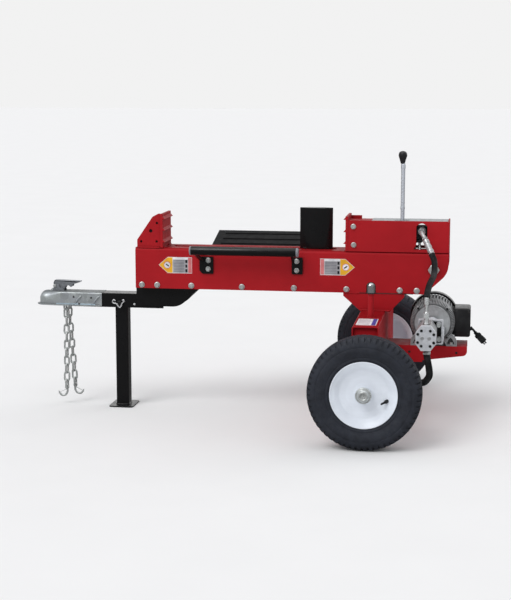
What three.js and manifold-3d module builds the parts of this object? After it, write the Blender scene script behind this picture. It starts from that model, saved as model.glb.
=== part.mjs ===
// Towable electric log splitter: a beam with a two-way hydraulic wedge, on a wheeled oil tank.
// Millimetres, +Z up. X runs along the beam, from the hitch (-X) to the motor (+X).
// Sizes below are measured from the wheel axle (X = 0), the beam's middle plane (Y = 0) and
// the ground (Z = 0). "Near" pieces are on the -Y side, where the hoses and the pump are.
import * as THREE from 'three';
import { mergeVertices } from 'three/addons/utils/BufferGeometryUtils.js';
import Module from 'manifold-3d';

const wasm = await Module();
wasm.setup();

// ---------------------------------------------------------------- driving dimensions
const gap = 0.3;                       // clearance between pieces that touch

const tyreRadius = 203;                // 4.80/4.00-8 tyre
const tyreHalfWidth = 56;
const halfTrack = 541;
const axleZ = tyreRadius;
const spindleRadius = 12.7;
const rimRadius = 120;

const beam = { left: -937, right: 274, bottom: 486, top: 645, halfWidth: 75, wall: 5, corner: 12 };

const cylinder = { z: 578, outer: 44, bore: 38.1, rod: 19, left: -370, right: 190, pinX: 219 };
const rodPin = { x: -440, radius: 10 };
const anchorRadius = 12;

const wedge = { left: -300, right: -171.6, top: 804, halfWidth: 19, bevel: 34 };
const stroke = 469;                    // wedge travel towards the hitch end
const neck = { inset: 15, halfWidth: 15 };  // the part of the wedge that runs in the beam's slot
const slot = { left: wedge.left - stroke - 31, right: wedge.right + 14.6, halfWidth: 20 };
const carriagePlate = { left: -455, right: -175, bottom: 628, top: 638, halfWidth: 40 };

const plateThickness = 10;             // push plates
const leftPlateFace = -827;
const rightPlateFace = -117;
const plateTop = 777;
const gusset = { left: -930, inner: 62, outer: 70, farDrop: 14 };
const guard = { left: -106.7, right: 268, top: 764, farTop: 757, thickness: 4 };
const valve = { left: 112, right: 215, bottom: 692, top: 740, halfWidth: 36, spoolZ: 720 };
const lever = { x: 92, pivotZ: 700, radius: 7.5, top: 948.7 };
const knob = { bottom: 949, top: 1019, radius: 18 };
const port = { x: 171, z: 726 };       // pressure port of the valve, on the near side
const returnPipe = { x: 161, y: -55, tankX: 24, radius: 8.5, hole: 10 };
const feedPipe = { x: 140, radius: 7, hole: 10 };

const tank = { left: -57, right: 39, bottom: 165, top: 419, halfLength: 435, wall: 4, recess: 12 };
const filler = { x: -5, y: -232, radius: 11, wall: 3, top: 509 };
const saddle = { left: -123, right: 110, top: 485.7, shoulder: 474, sheet: 6 };

const motor = { x: 218, z: 380, front: -88, rear: 142, radius: 84, shaft: 8 };
const tray = { right: 350, near: -83, far: 55, top: 291, sheet: 4 };
const pump = { x: 206, z: 380, front: -421, cover: -406, rear: -283, halfWidth: 37, halfHeight: 46,
  cutX: 20, cutZ: 26 };

const tongue = { left: -1222, right: -836, bottom: 400, top: 456, halfWidth: 35, wall: 4 };
const bracket = { left: -943, right: -697, bottom: 409, sheet: 6 };
const ball = { x: -1317, z: 427, radius: 31.5, wall: 3.5, lip: 10.5 };
const coupler = { right: -1085, bottom: 403, top: 462, halfWidth: 39 };
const latchPivot = { x: -1283, z: 478 };
const chainBar = { x: -1237, z: 410, radius: 5 };
const leg = { x: -1009, pivotZ: 422, pinRadius: 5, halfWidth: 25.4, wall: 3 };
const foot = { length: 98, width: 120, thickness: 5 };

const rail = { left: -706, right: -296, y: -130, z: 644.5, radius: 17 };
const logTray = { left: -663, right: -290, innerY: 80, innerZ: 641, outerY: 246, outerZ: 684 };

// ---------------------------------------------------------------- materials
function finish(color, roughness, metalness) {
  return new THREE.MeshStandardMaterial({ color, roughness, metalness });
}
const redPaint = finish(0x96272d, 0.4, 0.1);
const blackPaint = finish(0x19191b, 0.45, 0.1);
const zinc = finish(0xaab0b2, 0.35, 0.9);
const chrome = finish(0xd5d8da, 0.15, 1.0);
const castIron = finish(0x3a3c3e, 0.6, 0.6);
const castAluminium = finish(0xc8cdd2, 0.45, 0.8);
const motorGrey = finish(0x8d9194, 0.5, 0.5);
const rubber = finish(0x2a3038, 0.85, 0.0);
const blackPlastic = finish(0x1c1c1e, 0.55, 0.0);
const rimWhite = finish(0xd7dee8, 0.4, 0.1);

// ---------------------------------------------------------------- shape helpers
// a block between two limits on each axis
function block(x0, x1, y0, y1, z0, z1) {
  const shape = new THREE.BoxGeometry(x1 - x0, y1 - y0, z1 - z0);
  return shape.translate((x0 + x1) / 2, (y0 + y1) / 2, (z0 + z1) / 2);
}

function outline(points) {
  return new THREE.Shape(points.map(([a, b]) => new THREE.Vector2(a, b)));
}

// a round hole in an outline
function roundHole(shape, x, z, radius, corners = 10) {
  const turnOf = (i) => (-2 * Math.PI * i) / corners;
  const rim = Array.from({ length: corners }, (_, i) => new THREE.Vector2(
    x + radius * Math.cos(turnOf(i)), z + radius * Math.sin(turnOf(i))));
  shape.holes.push(new THREE.Path(rim));
}

// a plate whose outline lies in the X-Z plane, from y0 to y1
function sidePlate(shape, y0, y1, curveSegments = 6) {
  const plate = new THREE.ExtrudeGeometry(shape, { depth: y1 - y0, bevelEnabled: false, curveSegments });
  return plate.rotateX(Math.PI / 2).translate(0, y1, 0);
}

// a bar whose outline (Y, Z) is drawn out along X, from x0 to x1
function section(shape, x0, x1, curveSegments = 4) {
  const bar = new THREE.ExtrudeGeometry(shape, { depth: x1 - x0, bevelEnabled: false, curveSegments });
  return bar.rotateX(Math.PI / 2).rotateZ(Math.PI / 2).translate(x0, 0, 0);
}

// a plate whose outline lies in the X-Y plane, from z0 to z1
function flatPlate(shape, z0, z1, curveSegments = 8) {
  const plate = new THREE.ExtrudeGeometry(shape, { depth: z1 - z0, bevelEnabled: false, curveSegments });
  return plate.translate(0, 0, z0);
}

// round bars along each axis
function barY(x, z, y0, y1, radius, segments = 20) {
  return new THREE.CylinderGeometry(radius, radius, y1 - y0, segments).translate(x, (y0 + y1) / 2, z);
}
function barX(y, z, x0, x1, radius, segments = 20) {
  const bar = new THREE.CylinderGeometry(radius, radius, x1 - x0, segments);
  return bar.rotateZ(-Math.PI / 2).translate((x0 + x1) / 2, y, z);
}
function barZ(x, y, z0, z1, radius, segments = 20) {
  const bar = new THREE.CylinderGeometry(radius, radius, z1 - z0, segments);
  return bar.rotateX(Math.PI / 2).translate(x, y, (z0 + z1) / 2);
}

// a turned piece: profile points are [radius, distance along the axis]
function turned(profile, segments) {
  return new THREE.LatheGeometry(profile.map(([r, a]) => new THREE.Vector2(r, a)), segments);
}
// the lathe axis is +Y; these lay it along +X or +Z
const alongX = (shape) => shape.rotateZ(-Math.PI / 2);
const alongZ = (shape) => shape.rotateX(Math.PI / 2);

// a round hose or tube through the given points
function hose(points, radius, steps, sides = 10) {
  const path = new THREE.CatmullRomCurve3(points.map((p) => new THREE.Vector3(...p)), false, 'centripetal');
  const circle = new THREE.Shape();
  circle.absarc(0, 0, radius, 0, 2 * Math.PI);
  const options = { steps, extrudePath: path, curveSegments: sides / 2, bevelEnabled: false };
  return new THREE.ExtrudeGeometry(circle, options);
}

// booleans
function solid(geometry) {
  const bare = geometry.clone();
  bare.deleteAttribute('normal');
  bare.deleteAttribute('uv');
  const merged = mergeVertices(bare, 1e-3);
  const corners = merged.index.array;
  const triVerts = [];
  for (let i = 0; i < corners.length; i += 3) {
    const [a, b, c] = [corners[i], corners[i + 1], corners[i + 2]];
    if (a !== b && b !== c && c !== a) triVerts.push(a, b, c);
  }
  return new wasm.Manifold(new wasm.Mesh({
    numProp: 3,
    vertProperties: new Float32Array(merged.attributes.position.array),
    triVerts: new Uint32Array(triVerts),
  }));
}
function geometryOf(manifold) {
  const mesh = manifold.getMesh();
  const shape = new THREE.BufferGeometry();
  shape.setAttribute('position', new THREE.BufferAttribute(new Float32Array(mesh.vertProperties), 3));
  shape.setIndex(new THREE.BufferAttribute(new Uint32Array(mesh.triVerts), 1));
  return shape;
}
function join(first, ...others) {
  return others.reduce((sum, shape) => sum.add(solid(shape)), solid(first));
}
function cut(base, ...tools) {
  const start = base instanceof THREE.BufferGeometry ? solid(base) : base;
  return geometryOf(tools.reduce((rest, tool) => rest.subtract(solid(tool)), start));
}
const joined = (...shapes) => geometryOf(join(...shapes));

// the same shape mirrored to the far side
function mirroredY(geometry) {
  const copy = (geometry.index ? geometry.toNonIndexed() : geometry.clone());
  copy.deleteAttribute('normal');
  copy.deleteAttribute('uv');
  const position = copy.attributes.position;
  for (let i = 0; i < position.count; i += 3) {
    const [a, b, c] = [0, 1, 2].map((k) => new THREE.Vector3().fromBufferAttribute(position, i + k));
    [a, c, b].forEach((p, k) => position.setXYZ(i + k, p.x, -p.y, p.z));
  }
  return copy;
}

// ---------------------------------------------------------------- the assembly
const machine = new THREE.Group();
function add(name, geometry, material) {
  const mesh = new THREE.Mesh(geometry, material);
  mesh.name = name;
  machine.add(mesh);
  return mesh;
}

// ---------------------------------------------------------------- beam
function beamHousing() {
  const { halfWidth: w, bottom, top, corner: r, wall } = beam;
  const shape = new THREE.Shape();
  shape.moveTo(-w, bottom);
  shape.lineTo(-w, top - r);
  shape.absarc(-w + r, top - r, r, Math.PI, Math.PI / 2, true);
  shape.lineTo(w - r, top);
  shape.absarc(w - r, top - r, r, Math.PI / 2, 0, true);
  shape.lineTo(w, bottom);
  shape.lineTo(w - wall, bottom);
  shape.lineTo(w - wall, top - r);
  shape.absarc(w - r, top - r, r - wall, 0, Math.PI / 2, false);
  shape.lineTo(-w + r, top - wall);
  shape.absarc(-w + r, top - r, r - wall, Math.PI / 2, Math.PI, false);
  shape.lineTo(-w + wall, bottom);

  // the lower corner at the motor end is cut away along a slant with a round shoulder
  const shoulder = new THREE.Shape();
  shoulder.moveTo(184, bottom - 1);
  shoulder.lineTo(246, 542);
  shoulder.quadraticCurveTo(beam.right, 566, beam.right + 0.1, 600);
  shoulder.lineTo(beam.right + 20, 600);
  shoulder.lineTo(beam.right + 20, bottom - 1);

  const wedgeSlot = block(slot.left, slot.right, -slot.halfWidth, slot.halfWidth, top - 20, top + 5);
  const anchorHole = barY(cylinder.pinX, cylinder.z, -w - 5, w + 5, anchorRadius + gap);
  const returnHole = barZ(returnPipe.x, returnPipe.y, top - 20, top + 5, returnPipe.hole, 12);
  const feedHole = barZ(feedPipe.x, 0, top - 20, top + 5, feedPipe.hole, 12);
  return cut(section(shape, beam.left, beam.right, 3), sidePlate(shoulder, -w - 5, w + 5, 4),
    wedgeSlot, anchorHole, returnHole, feedHole);
}

function bottomGuard() {
  const w = beam.halfWidth - beam.wall - gap;
  const channel = outline([[-w, 488], [w, 488], [w, 512], [w - 4, 512], [w - 4, 492],
    [-w + 4, 492], [-w + 4, 512], [-w, 512]]);
  return cut(section(channel, beam.left + 5, 180),
    barZ(returnPipe.tankX, returnPipe.y, 480, 500, returnPipe.hole, 12));
}

// push plate outline with three rows of teeth; side is +1 when the teeth point to +X
function toothedPlate(face, side, top, tips) {
  const back = face - side * plateThickness;
  const points = [[back, beam.top + gap], [face, beam.top + gap]];
  for (const z of tips) {
    points.push([face, z], [face + side * 8.5, z], [face, z + 10]);
  }
  points.push([face, top], [back, top]);
  return sidePlate(outline(points), -beam.halfWidth, beam.halfWidth);
}

function leftGusset(top) {
  const back = leftPlateFace - plateThickness - gap;
  const shape = outline([[gusset.left, beam.top + gap], [back, beam.top + gap], [back, top],
    [-846, top], [-868, top - 12], [gusset.left, 675]]);
  const holes = [[-914, 668.5, 5], [-852.5, 669, 5], [-875.5, 710, 7], [-850.5, 741, 5]];
  holes.forEach(([x, z, radius]) => roundHole(shape, x, z, radius));
  return sidePlate(shape, -gusset.outer, -gusset.inner);
}

function rightPushPlate() {
  const plate = toothedPlate(rightPlateFace, -1, plateTop + 1, [673, 718, 765]);
  const brace = block(rightPlateFace + 5, -22, -70.5, 70.5, 752, 758);
  return joined(plate, brace);
}

function guardPlate(far) {
  const shape = new THREE.Shape();
  shape.moveTo(guard.left, beam.top + gap);
  shape.lineTo(guard.right, beam.top + gap);
  if (far) {
    // the far side is lower, with an ear beside the push plate
    shape.lineTo(guard.right, guard.farTop);
    shape.lineTo(-66, guard.farTop);
    shape.lineTo(-66, guard.top + 6);
    shape.lineTo(guard.left, guard.top + 6);
  } else {
    shape.lineTo(guard.right, guard.top);
    shape.lineTo(guard.left, guard.top);
  }
  // hose slot: arched top, flared foot
  const opening = new THREE.Path();
  opening.moveTo(141, 657);
  opening.lineTo(151, 673);
  opening.lineTo(151, 744);
  opening.quadraticCurveTo(port.x, 768, 192, 744);
  opening.lineTo(192, 673);
  opening.lineTo(200, 657);
  shape.holes.push(opening);
  const inner = beam.halfWidth - guard.thickness;
  return far ? sidePlate(shape, inner, beam.halfWidth) : sidePlate(shape, -beam.halfWidth, -inner);
}

function topCover() {
  const w = beam.halfWidth - guard.thickness - gap;
  const sheet = block(-21.7, guard.right - gap, -w, w, 757.5, 760);
  return cut(sheet, block(lever.x - 27, lever.x + 27, -11, 11, 750, 770));
}

add('beam_housing', beamHousing(), redPaint);
add('beam_bottom_guard', bottomGuard(), blackPaint);
add('left_push_plate', toothedPlate(leftPlateFace, 1, plateTop, [666, 712, 756]), redPaint);
add('left_gusset_near', leftGusset(plateTop), redPaint);
add('left_gusset_far', mirroredY(leftGusset(plateTop - gusset.farDrop)), redPaint);
add('right_push_plate', rightPushPlate(), redPaint);
add('valve_guard_near', guardPlate(false), redPaint);
add('valve_guard_far', guardPlate(true), redPaint);
const guardEnd = block(guard.right + gap, beam.right, -beam.halfWidth, beam.halfWidth, beam.top + gap, 762);
add('valve_guard_end', guardEnd, redPaint);
add('valve_top_cover', topCover(), zinc);

// ---------------------------------------------------------------- cylinder and wedge
function barrel() {
  const { outer, bore, left, right, z, pinX } = cylinder;
  const tube = alongX(turned([[0, right], [outer, right], [outer, left], [bore, left],
    [bore, right - 20], [0, right - 20]].reverse(), 28)).translate(0, 0, z);
  const lug = block(right - 5, pinX + 24, -22, 22, z - 26, z + 26);
  return cut(join(tube, lug), barY(pinX, z, -60, 60, anchorRadius + gap));
}

function gland() {
  const { outer, bore, rod, left, z } = cylinder;
  const ring = [[rod + gap, left - 7], [outer, left - 7], [outer, left - gap], [bore - gap, left - gap],
    [bore - gap, left + 30], [rod + gap, left + 30]];
  return alongX(turned([...ring, ring[0]], 28)).translate(0, 0, z);
}

function rodAndPiston() {
  const { bore, rod, right, z } = cylinder;
  const piston = right - 60;
  const shaft = turned([[0, rodPin.x + 18], [rod, rodPin.x + 18], [rod, piston], [bore - gap, piston],
    [bore - gap, piston + 35], [0, piston + 35]], 28);
  const eye = barY(rodPin.x, z, -13, 13, 22);
  return cut(join(alongX(shaft).translate(0, 0, z), eye), barY(rodPin.x, z, -20, 20, rodPin.radius + gap));
}

function anchorBolt() {
  const w = beam.halfWidth + gap;
  const shank = barY(cylinder.pinX, cylinder.z, -w - 2, w + 2, anchorRadius);
  const head = barY(cylinder.pinX, cylinder.z, -w - 14, -w, 22, 6);
  const nut = barY(cylinder.pinX, cylinder.z, w, w + 16, 22, 6);
  return joined(shank, head, nut);
}

function wedgeBody() {
  const { left, right, top, halfWidth: w, bevel } = wedge;
  const plan = outline([[left, 0], [left + bevel, -w], [right - bevel, -w], [right, 0],
    [right - bevel, w], [left + bevel, w]]);
  const foot = block(left + neck.inset, right - neck.inset, -neck.halfWidth, neck.halfWidth,
    carriagePlate.top + gap, beam.top + 5);
  return joined(flatPlate(plan, beam.top + 1, top), foot);
}

// the carriage slides inside the beam, under the slot, and joins the wedge to the rod end
function carriage() {
  const { left, right, bottom, top, halfWidth: w } = carriagePlate;
  const plate = block(left, right, -w, w, bottom, top);
  const cheek = (y) => block(left, left + 30, y - 4, y + 4, cylinder.z - 18, bottom + 2);
  return cut(join(plate, cheek(-18), cheek(18)), barY(rodPin.x, cylinder.z, -30, 30, rodPin.radius + gap));
}

add('cylinder_barrel', barrel(), blackPaint);
add('cylinder_gland', gland(), castIron);
add('cylinder_rod', rodAndPiston(), chrome);
add('cylinder_anchor_bolt', anchorBolt(), zinc);
add('wedge', wedgeBody(), blackPaint);
add('wedge_carriage', carriage(), blackPaint);
add('rod_pin', barY(rodPin.x, cylinder.z, -26, 26, rodPin.radius), zinc);

// ---------------------------------------------------------------- control valve and lever
function valveBody() {
  const { left, right, bottom, top, halfWidth: w, spoolZ } = valve;
  const body = block(left, right, -w, w, bottom, top);
  const legs = [left, right - 12].map((x) => block(x, x + 12, -30, 30, beam.top + gap, bottom + 5));
  const arms = [-15, 15].map((y) => block(82, left + 5, y - 3, y + 3, lever.pivotZ - 8, lever.pivotZ + 10));
  const boss = barY(port.x, port.z, -52, -w + 5, 14);
  return cut(join(body, ...legs, ...arms, boss),
    barX(0, spoolZ, left - 40, right + 5, 8.3),
    barY(lever.x, lever.pivotZ, -30, 30, 4.3, 12));
}

function leverRod() {
  const { x, pivotZ, radius, top } = lever;
  const collar = [[0, pivotZ], [radius, pivotZ], [radius, 801], [10, 804], [10, 812], [radius, 815],
    [radius, top], [0, top]];
  const rod = alongZ(turned(collar, 14)).translate(x, 0, 0);
  return joined(rod, barY(x, pivotZ, -11, 11, 10, 16), barY(x, pivotZ, -18, 18, 4, 12));
}

function knobShape() {
  const { bottom, top, radius } = knob;
  const points = [[0, bottom], [8, bottom], [11, bottom + 14], [15.5, bottom + 30], [radius, bottom + 46],
    [16.5, bottom + 57], [11, top - 5], [5, top - 1], [0, top]];
  return alongZ(turned(points, 16)).translate(lever.x, 0, 0);
}

function portFitting() {
  const y = -52 - gap;
  const pipe = hose([[port.x, y, port.z], [port.x, -92, port.z], [port.x + 4, -106, port.z - 5],
    [200, -140, 682]], 8, 10, 8);
  return joined(pipe, barY(port.x, port.z, -74, y, 15, 6));
}

const pumpPortY = -385;
function pressureHose() {
  const endX = pump.x - 3;
  return hose([[201, -141.8, 680], [207, -150, 664], [223, -175, 630], [221, -235, 585],
    [207, -310, 548], [201, -365, 515], [endX, pumpPortY, 484], [endX, pumpPortY, 466]], 9.5, 18, 8);
}

function outletFitting() {
  const x = pump.x - 3;
  const stem = barZ(x, pumpPortY, pump.z + pump.halfHeight - 1 + gap, 465, 9, 12);
  return joined(stem, barZ(x, pumpPortY, 426, 446, 16, 6), barZ(x, pumpPortY, 450, 464, 13, 6));
}

function suctionHose() {
  const y = pumpPortY;
  return hose([[pump.x + 3, y, 334.6], [pump.x + 3, y, 318], [214, y, 288], [219, y, 260], [219, y, 236],
    [202, y, 214], [176, y, 213], [140, y, 222], [90, y, 228], [60, y, 228],
    [tank.right + 1.5, y, 228]], 12.5, 18, 8);
}

function returnHose() {
  // it drops into the beam, runs back beside the barrel and comes out between the saddle plates
  const { x, y, tankX, radius } = returnPipe;
  return hose([[x, -29, valve.bottom - 1.5], [x, -29, 684], [x, y + 2, 656], [x, y, 630], [145, y, 598],
    [80, y, 565], [tankX + 8, y, 535], [tankX, y, 505], [tankX, y, tank.top + 1.5]], radius, 20, 8);
}

add('control_valve_body', valveBody(), castIron);
add('valve_spool', barX(0, valve.spoolZ, 103, 226, 8), chrome);
add('lever_rod', leverRod(), chrome);
add('lever_knob', knobShape(), blackPlastic);
add('valve_port_fitting', portFitting(), zinc);
add('pressure_hose', pressureHose(), rubber);
add('pump_outlet_fitting', outletFitting(), zinc);
add('suction_hose', suctionHose(), rubber);
add('return_hose', returnHose(), rubber);
const feedBottom = cylinder.z + cylinder.outer + gap;
add('cylinder_feed_tube', barZ(feedPipe.x, 0, feedBottom, valve.bottom - gap, feedPipe.radius, 12), zinc);

// ---------------------------------------------------------------- tank, axle, wheels
function saddleShape() {
  const { left, right, top, shoulder, sheet } = saddle;
  const w = beam.halfWidth;
  const side = outline([[left, top], [left, shoulder], [tank.left - 3, tank.top + gap],
    [tank.right + 19, tank.top + gap], [right, shoulder], [right, top]]);
  const near = sidePlate(side, -w, -w + sheet);
  const far = sidePlate(side, w - sheet, w);
  return cut(join(near, far, block(left, right, -w, w, top - sheet, top)),
    barZ(returnPipe.tankX, returnPipe.y, 470, 500, returnPipe.hole, 12));
}

// a tall welded box that is oil tank and axle beam in one; its ends are set back inside a lip
function tankShell() {
  const { left, right, bottom, top, halfLength: l, wall, recess } = tank;
  const shape = (inset) => {
    const r = 8 - inset / 2;
    const [x0, x1, z0, z1] = [left + inset, right - inset, bottom + inset, top - inset];
    const s = new THREE.Shape();
    s.moveTo(x0 + r, z0);
    s.lineTo(x1 - r, z0);
    s.absarc(x1 - r, z0 + r, r, -Math.PI / 2, 0, false);
    s.lineTo(x1, z1 - r);
    s.absarc(x1 - r, z1 - r, r, 0, Math.PI / 2, false);
    s.lineTo(x0 + r, z1);
    s.absarc(x0 + r, z1 - r, r, Math.PI / 2, Math.PI, false);
    s.lineTo(x0, z0 + r);
    s.absarc(x0 + r, z0 + r, r, Math.PI, 1.5 * Math.PI, false);
    return s;
  };
  const outer = sidePlate(shape(0), -l, l, 2);
  const cavity = sidePlate(shape(wall), -l + recess + wall, l - recess - wall, 2);
  const nearRecess = sidePlate(shape(wall), -l - 5, -l + recess, 2);
  const farRecess = sidePlate(shape(wall), l - recess, l + 5, 2);
  const mouth = barZ(filler.x, filler.y, top - 20, top + 5, filler.radius - filler.wall, 14);
  return cut(outer, cavity, nearRecess, farRecess, mouth);
}

function fillerTube() {
  const { x, y, radius, wall, top } = filler;
  const ring = [[radius - wall, tank.top + gap], [radius, tank.top + gap], [radius, top],
    [radius - wall, top]];
  return alongZ(turned([...ring, ring[0]], 16)).translate(x, y, 0);
}

// vented cap with its dipstick
function fillerCap() {
  const { x, y, top } = filler;
  const profile = [[0, 330], [3, 330], [3, top + gap], [16, top + gap], [18, top + 4], [18, top + 30],
    [16, top + 37], [10, top + 41.5], [0, top + 43]];
  return alongZ(turned(profile, 18)).translate(x, y, 0);
}

function spindle() {
  return barY(0, axleZ, -halfTrack - 40, -tank.halfLength + tank.recess - gap, spindleRadius);
}

// profiles are [radius, offset from the wheel's middle plane]; minus is the outer side
function wheelRim() {
  const hub = spindleRadius + gap;
  const profile = [[hub, -42], [24, -42], [27, -28], [60, -24], [97, -38], [rimRadius, -51],
    [rimRadius, -48], [107, -44.5], [99, -18], [99, 18], [107, 44.5], [rimRadius, 48],
    [rimRadius, 51], [94, 18], [92, -20], [30, -20], [24, 30], [hub, 30]];
  return turned([...profile, profile[0]], 24).translate(0, -halfTrack, axleZ);
}

function tyre() {
  const profile = [[108, -44], [124, -47], [158, -tyreHalfWidth], [188, -50], [tyreRadius, -22],
    [tyreRadius, 22], [188, 50], [158, tyreHalfWidth], [124, 47], [108, 44], [104, 22], [160, 40],
    [188, 0], [160, -40], [104, -22]];
  return turned([...profile, profile[0]], 30).translate(0, -halfTrack, axleZ);
}

function hubCap() {
  const profile = [[0, -60], [12, -59], [19, -55], [20, -48], [29, -46], [29, -42.3], [0, -42.3]];
  return turned(profile, 20).translate(0, -halfTrack, axleZ);
}

add('saddle', saddleShape(), redPaint);
add('tank', tankShell(), redPaint);
add('filler_tube', fillerTube(), redPaint);
add('filler_cap', fillerCap(), chrome);
add('axle_spindle_near', spindle(), castIron);
add('axle_spindle_far', mirroredY(spindle()), castIron);
add('wheel_rim_near', wheelRim(), rimWhite);
add('wheel_rim_far', mirroredY(wheelRim()), rimWhite);
add('tyre_near', tyre(), rubber);
add('tyre_far', mirroredY(tyre()), rubber);
add('hub_cap_near', hubCap(), zinc);
add('hub_cap_far', mirroredY(hubCap()), zinc);

// ---------------------------------------------------------------- motor and pump
function motorTray() {
  const left = tank.right + gap;
  const { right, near, far, top, sheet } = tray;
  const flange = new THREE.Shape();
  flange.moveTo(left, 227);
  flange.lineTo(182, 227);
  flange.lineTo(182, 234);
  flange.lineTo(right - 16, 254.5);
  flange.quadraticCurveTo(right - 3, 256, right, 270);
  flange.lineTo(right, top);
  flange.lineTo(left, top);
  [133, 310].forEach((x) => roundHole(flange, x, 266, 3));
  return joined(block(left, right, near, far, top - sheet, top),
    sidePlate(flange, near, near + sheet), sidePlate(flange, far - sheet, far));
}

// profiles are [radius, Y]; the housing holds the stator
function motorHousing() {
  const { x, z, radius } = motor;
  const ring = [[47, -40], [radius, -40], [radius, 88], [47, 88]];
  const shell = turned([...ring, ring[0]], 28).translate(x, 0, z);
  const foot = block(x - 82, x + 82, -75, 45, tray.top + gap, tray.top + 6);
  const shoulders = [-1, 1].map((side) => block(x + side * 52 - 12, x + side * 52 + 12, -39, 30,
    tray.top + 4, z - 60));
  const bore = barY(x, z, -90, 100, 47, 28);
  return cut(join(shell, foot, ...shoulders), bore);
}

function frontBell() {
  const { x, z, front, radius, shaft } = motor;
  const profile = [[shaft + gap, front], [66, front], [79, front + 8], [radius, front + 20],
    [radius, -40 - gap], [76, -40 - gap], [74, front + 18], [60, front + 10], [shaft + gap, front + 10]];
  const bell = turned([...profile, profile[0]], 28).translate(x, 0, z);
  return cut(bell, block(x - 100, x + 100, -100, -30, 200, tray.top + 6 + gap));
}

function fanCover() {
  const { x, z, rear, shaft } = motor;
  const ring = [[83, 88 + gap], [87, 88 + gap], [87, rear - 14], [76, rear], [shaft + 4, rear],
    [shaft + 4, rear - 4], [74, rear - 4], [83, rear - 16]];
  return turned([...ring, ring[0]], 28).translate(x, 0, z);
}

function rotor() {
  const { x, z, shaft, rear } = motor;
  const profile = [[0, -215], [shaft, -215], [shaft, -30], [45, -30], [45, 78], [shaft, 78],
    [shaft, 100], [68, 100], [68, 116], [shaft, 116], [shaft, rear - 8], [0, rear - 8]];
  return turned(profile, 18).translate(x, 0, z);
}

function capacitorBox() {
  const { x, z, radius } = motor;
  const r = 9;
  const [x0, x1, z0, z1] = [x + 62, 360, 320, 429];
  const shape = new THREE.Shape();
  shape.moveTo(x0, z0);
  shape.lineTo(x1 - r, z0);
  shape.absarc(x1 - r, z0 + r, r, -Math.PI / 2, 0, false);
  shape.lineTo(x1, z1 - r);
  shape.absarc(x1 - r, z1 - r, r, 0, Math.PI / 2, false);
  shape.lineTo(x0, z1);
  return cut(sidePlate(shape, -38, 84), barY(x, z, -60, 100, radius + 3 + gap, 28));
}

function powerCord() {
  const start = 363;
  const cord = hose([[start, 10, 347], [368, 9, 345], [376, 0, 335], [384, -4, 327]], 4.5, 8, 8);
  const plug = hose([[378, -1, 333], [420, -12, 292]], 13, 2, 8);
  return joined(cord, plug);
}

// cast frame between the motor's face and the pump's flange, open at the front and the sides
function pumpBracket() {
  const { x, z, front } = motor;
  const w = 46;
  const outer = block(x - w, x + w, pump.rear + gap, front - gap, z - w, z + w);
  const inner = block(x - w + 8, x + w - 8, pump.rear - 10, front - 12, z - w + 8, z + w - 8);
  const sideWindow = block(x - 80, x + 80, pump.rear + 22, front - 30, z - 26, z + 26);
  return cut(outer, inner, sideWindow, barY(x, z, -300, -60, 14, 18));
}

// an upright octagon, with a cut of a by b off each corner of its w by h half sizes
function octagon(w, h, x, z, a, b) {
  return outline([[x - w + a, z - h], [x + w - a, z - h], [x + w, z - h + b], [x + w, z + h - b],
    [x + w - a, z + h], [x - w + a, z + h], [x - w, z + h - b], [x - w, z - h + b]]);
}

function pumpBody() {
  const { x, z, halfWidth: w, halfHeight: h, cutX, cutZ, cover, rear } = pump;
  const body = sidePlate(octagon(w - 1, h - 1, x, z, cutX, cutZ), cover + gap, rear);
  const gearBore = barY(motor.x, z, cover - 5, cover + 60, 15 + gap, 20);
  return cut(body, gearBore, barY(motor.x, z, cover, rear + 10, 8.3, 20));
}

function pumpCover() {
  const { x, z, halfWidth: w, halfHeight: h, cutX, cutZ, front, cover } = pump;
  return sidePlate(octagon(w, h, x, z, cutX, cutZ), front, cover);
}

// the pump's driving gear and its shaft, met by the motor shaft in a sleeve coupling
function pumpGear() {
  const { z, cover } = pump;
  const profile = [[0, cover + 2], [14, cover + 2], [14, cover + 55], [8, cover + 55], [8, -250],
    [13, -250], [13, -215 - gap], [0, -215 - gap]];
  return turned(profile, 18).translate(motor.x, 0, z);
}

add('motor_tray', motorTray(), redPaint);
add('motor_housing', motorHousing(), motorGrey);
add('motor_front_bell', frontBell(), castAluminium);
add('motor_fan_cover', fanCover(), blackPaint);
add('motor_rotor', rotor(), chrome);
add('capacitor_box', capacitorBox(), blackPlastic);
add('power_cord', powerCord(), rubber);
add('pump_bracket', pumpBracket(), castAluminium);
add('pump_body', pumpBody(), castAluminium);
add('pump_cover', pumpCover(), castAluminium);
add('pump_gear', pumpGear(), chrome);

// ---------------------------------------------------------------- hitch end
function tongueChannel() {
  const { left, right, bottom, top, halfWidth: w, wall } = tongue;
  const channel = outline([[-w, bottom], [-w, top], [w, top], [w, bottom], [w - wall, bottom],
    [w - wall, top - wall], [-w + wall, top - wall], [-w + wall, bottom]]);
  return cut(section(channel, left, right),
    barY(leg.x, leg.pivotZ, -60, 60, leg.pinRadius + 0.5, 12), barY(-955, 415, -60, 60, 4, 10));
}

function tongueBracket() {
  const { left, right, bottom, sheet } = bracket;
  const inner = tongue.halfWidth + gap;
  const outer = inner + sheet;
  const top = beam.bottom - gap;
  const side = new THREE.Shape();
  side.moveTo(left, top);
  side.lineTo(left, bottom);
  side.lineTo(-795, bottom);
  side.quadraticCurveTo(-765, bottom + 1, -740, 438);
  side.lineTo(right, top - 8);
  side.lineTo(right, top);
  return joined(sidePlate(side, -outer, -inner), sidePlate(side, inner, outer),
    block(left, right, -outer, outer, top - sheet, top));
}

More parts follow.
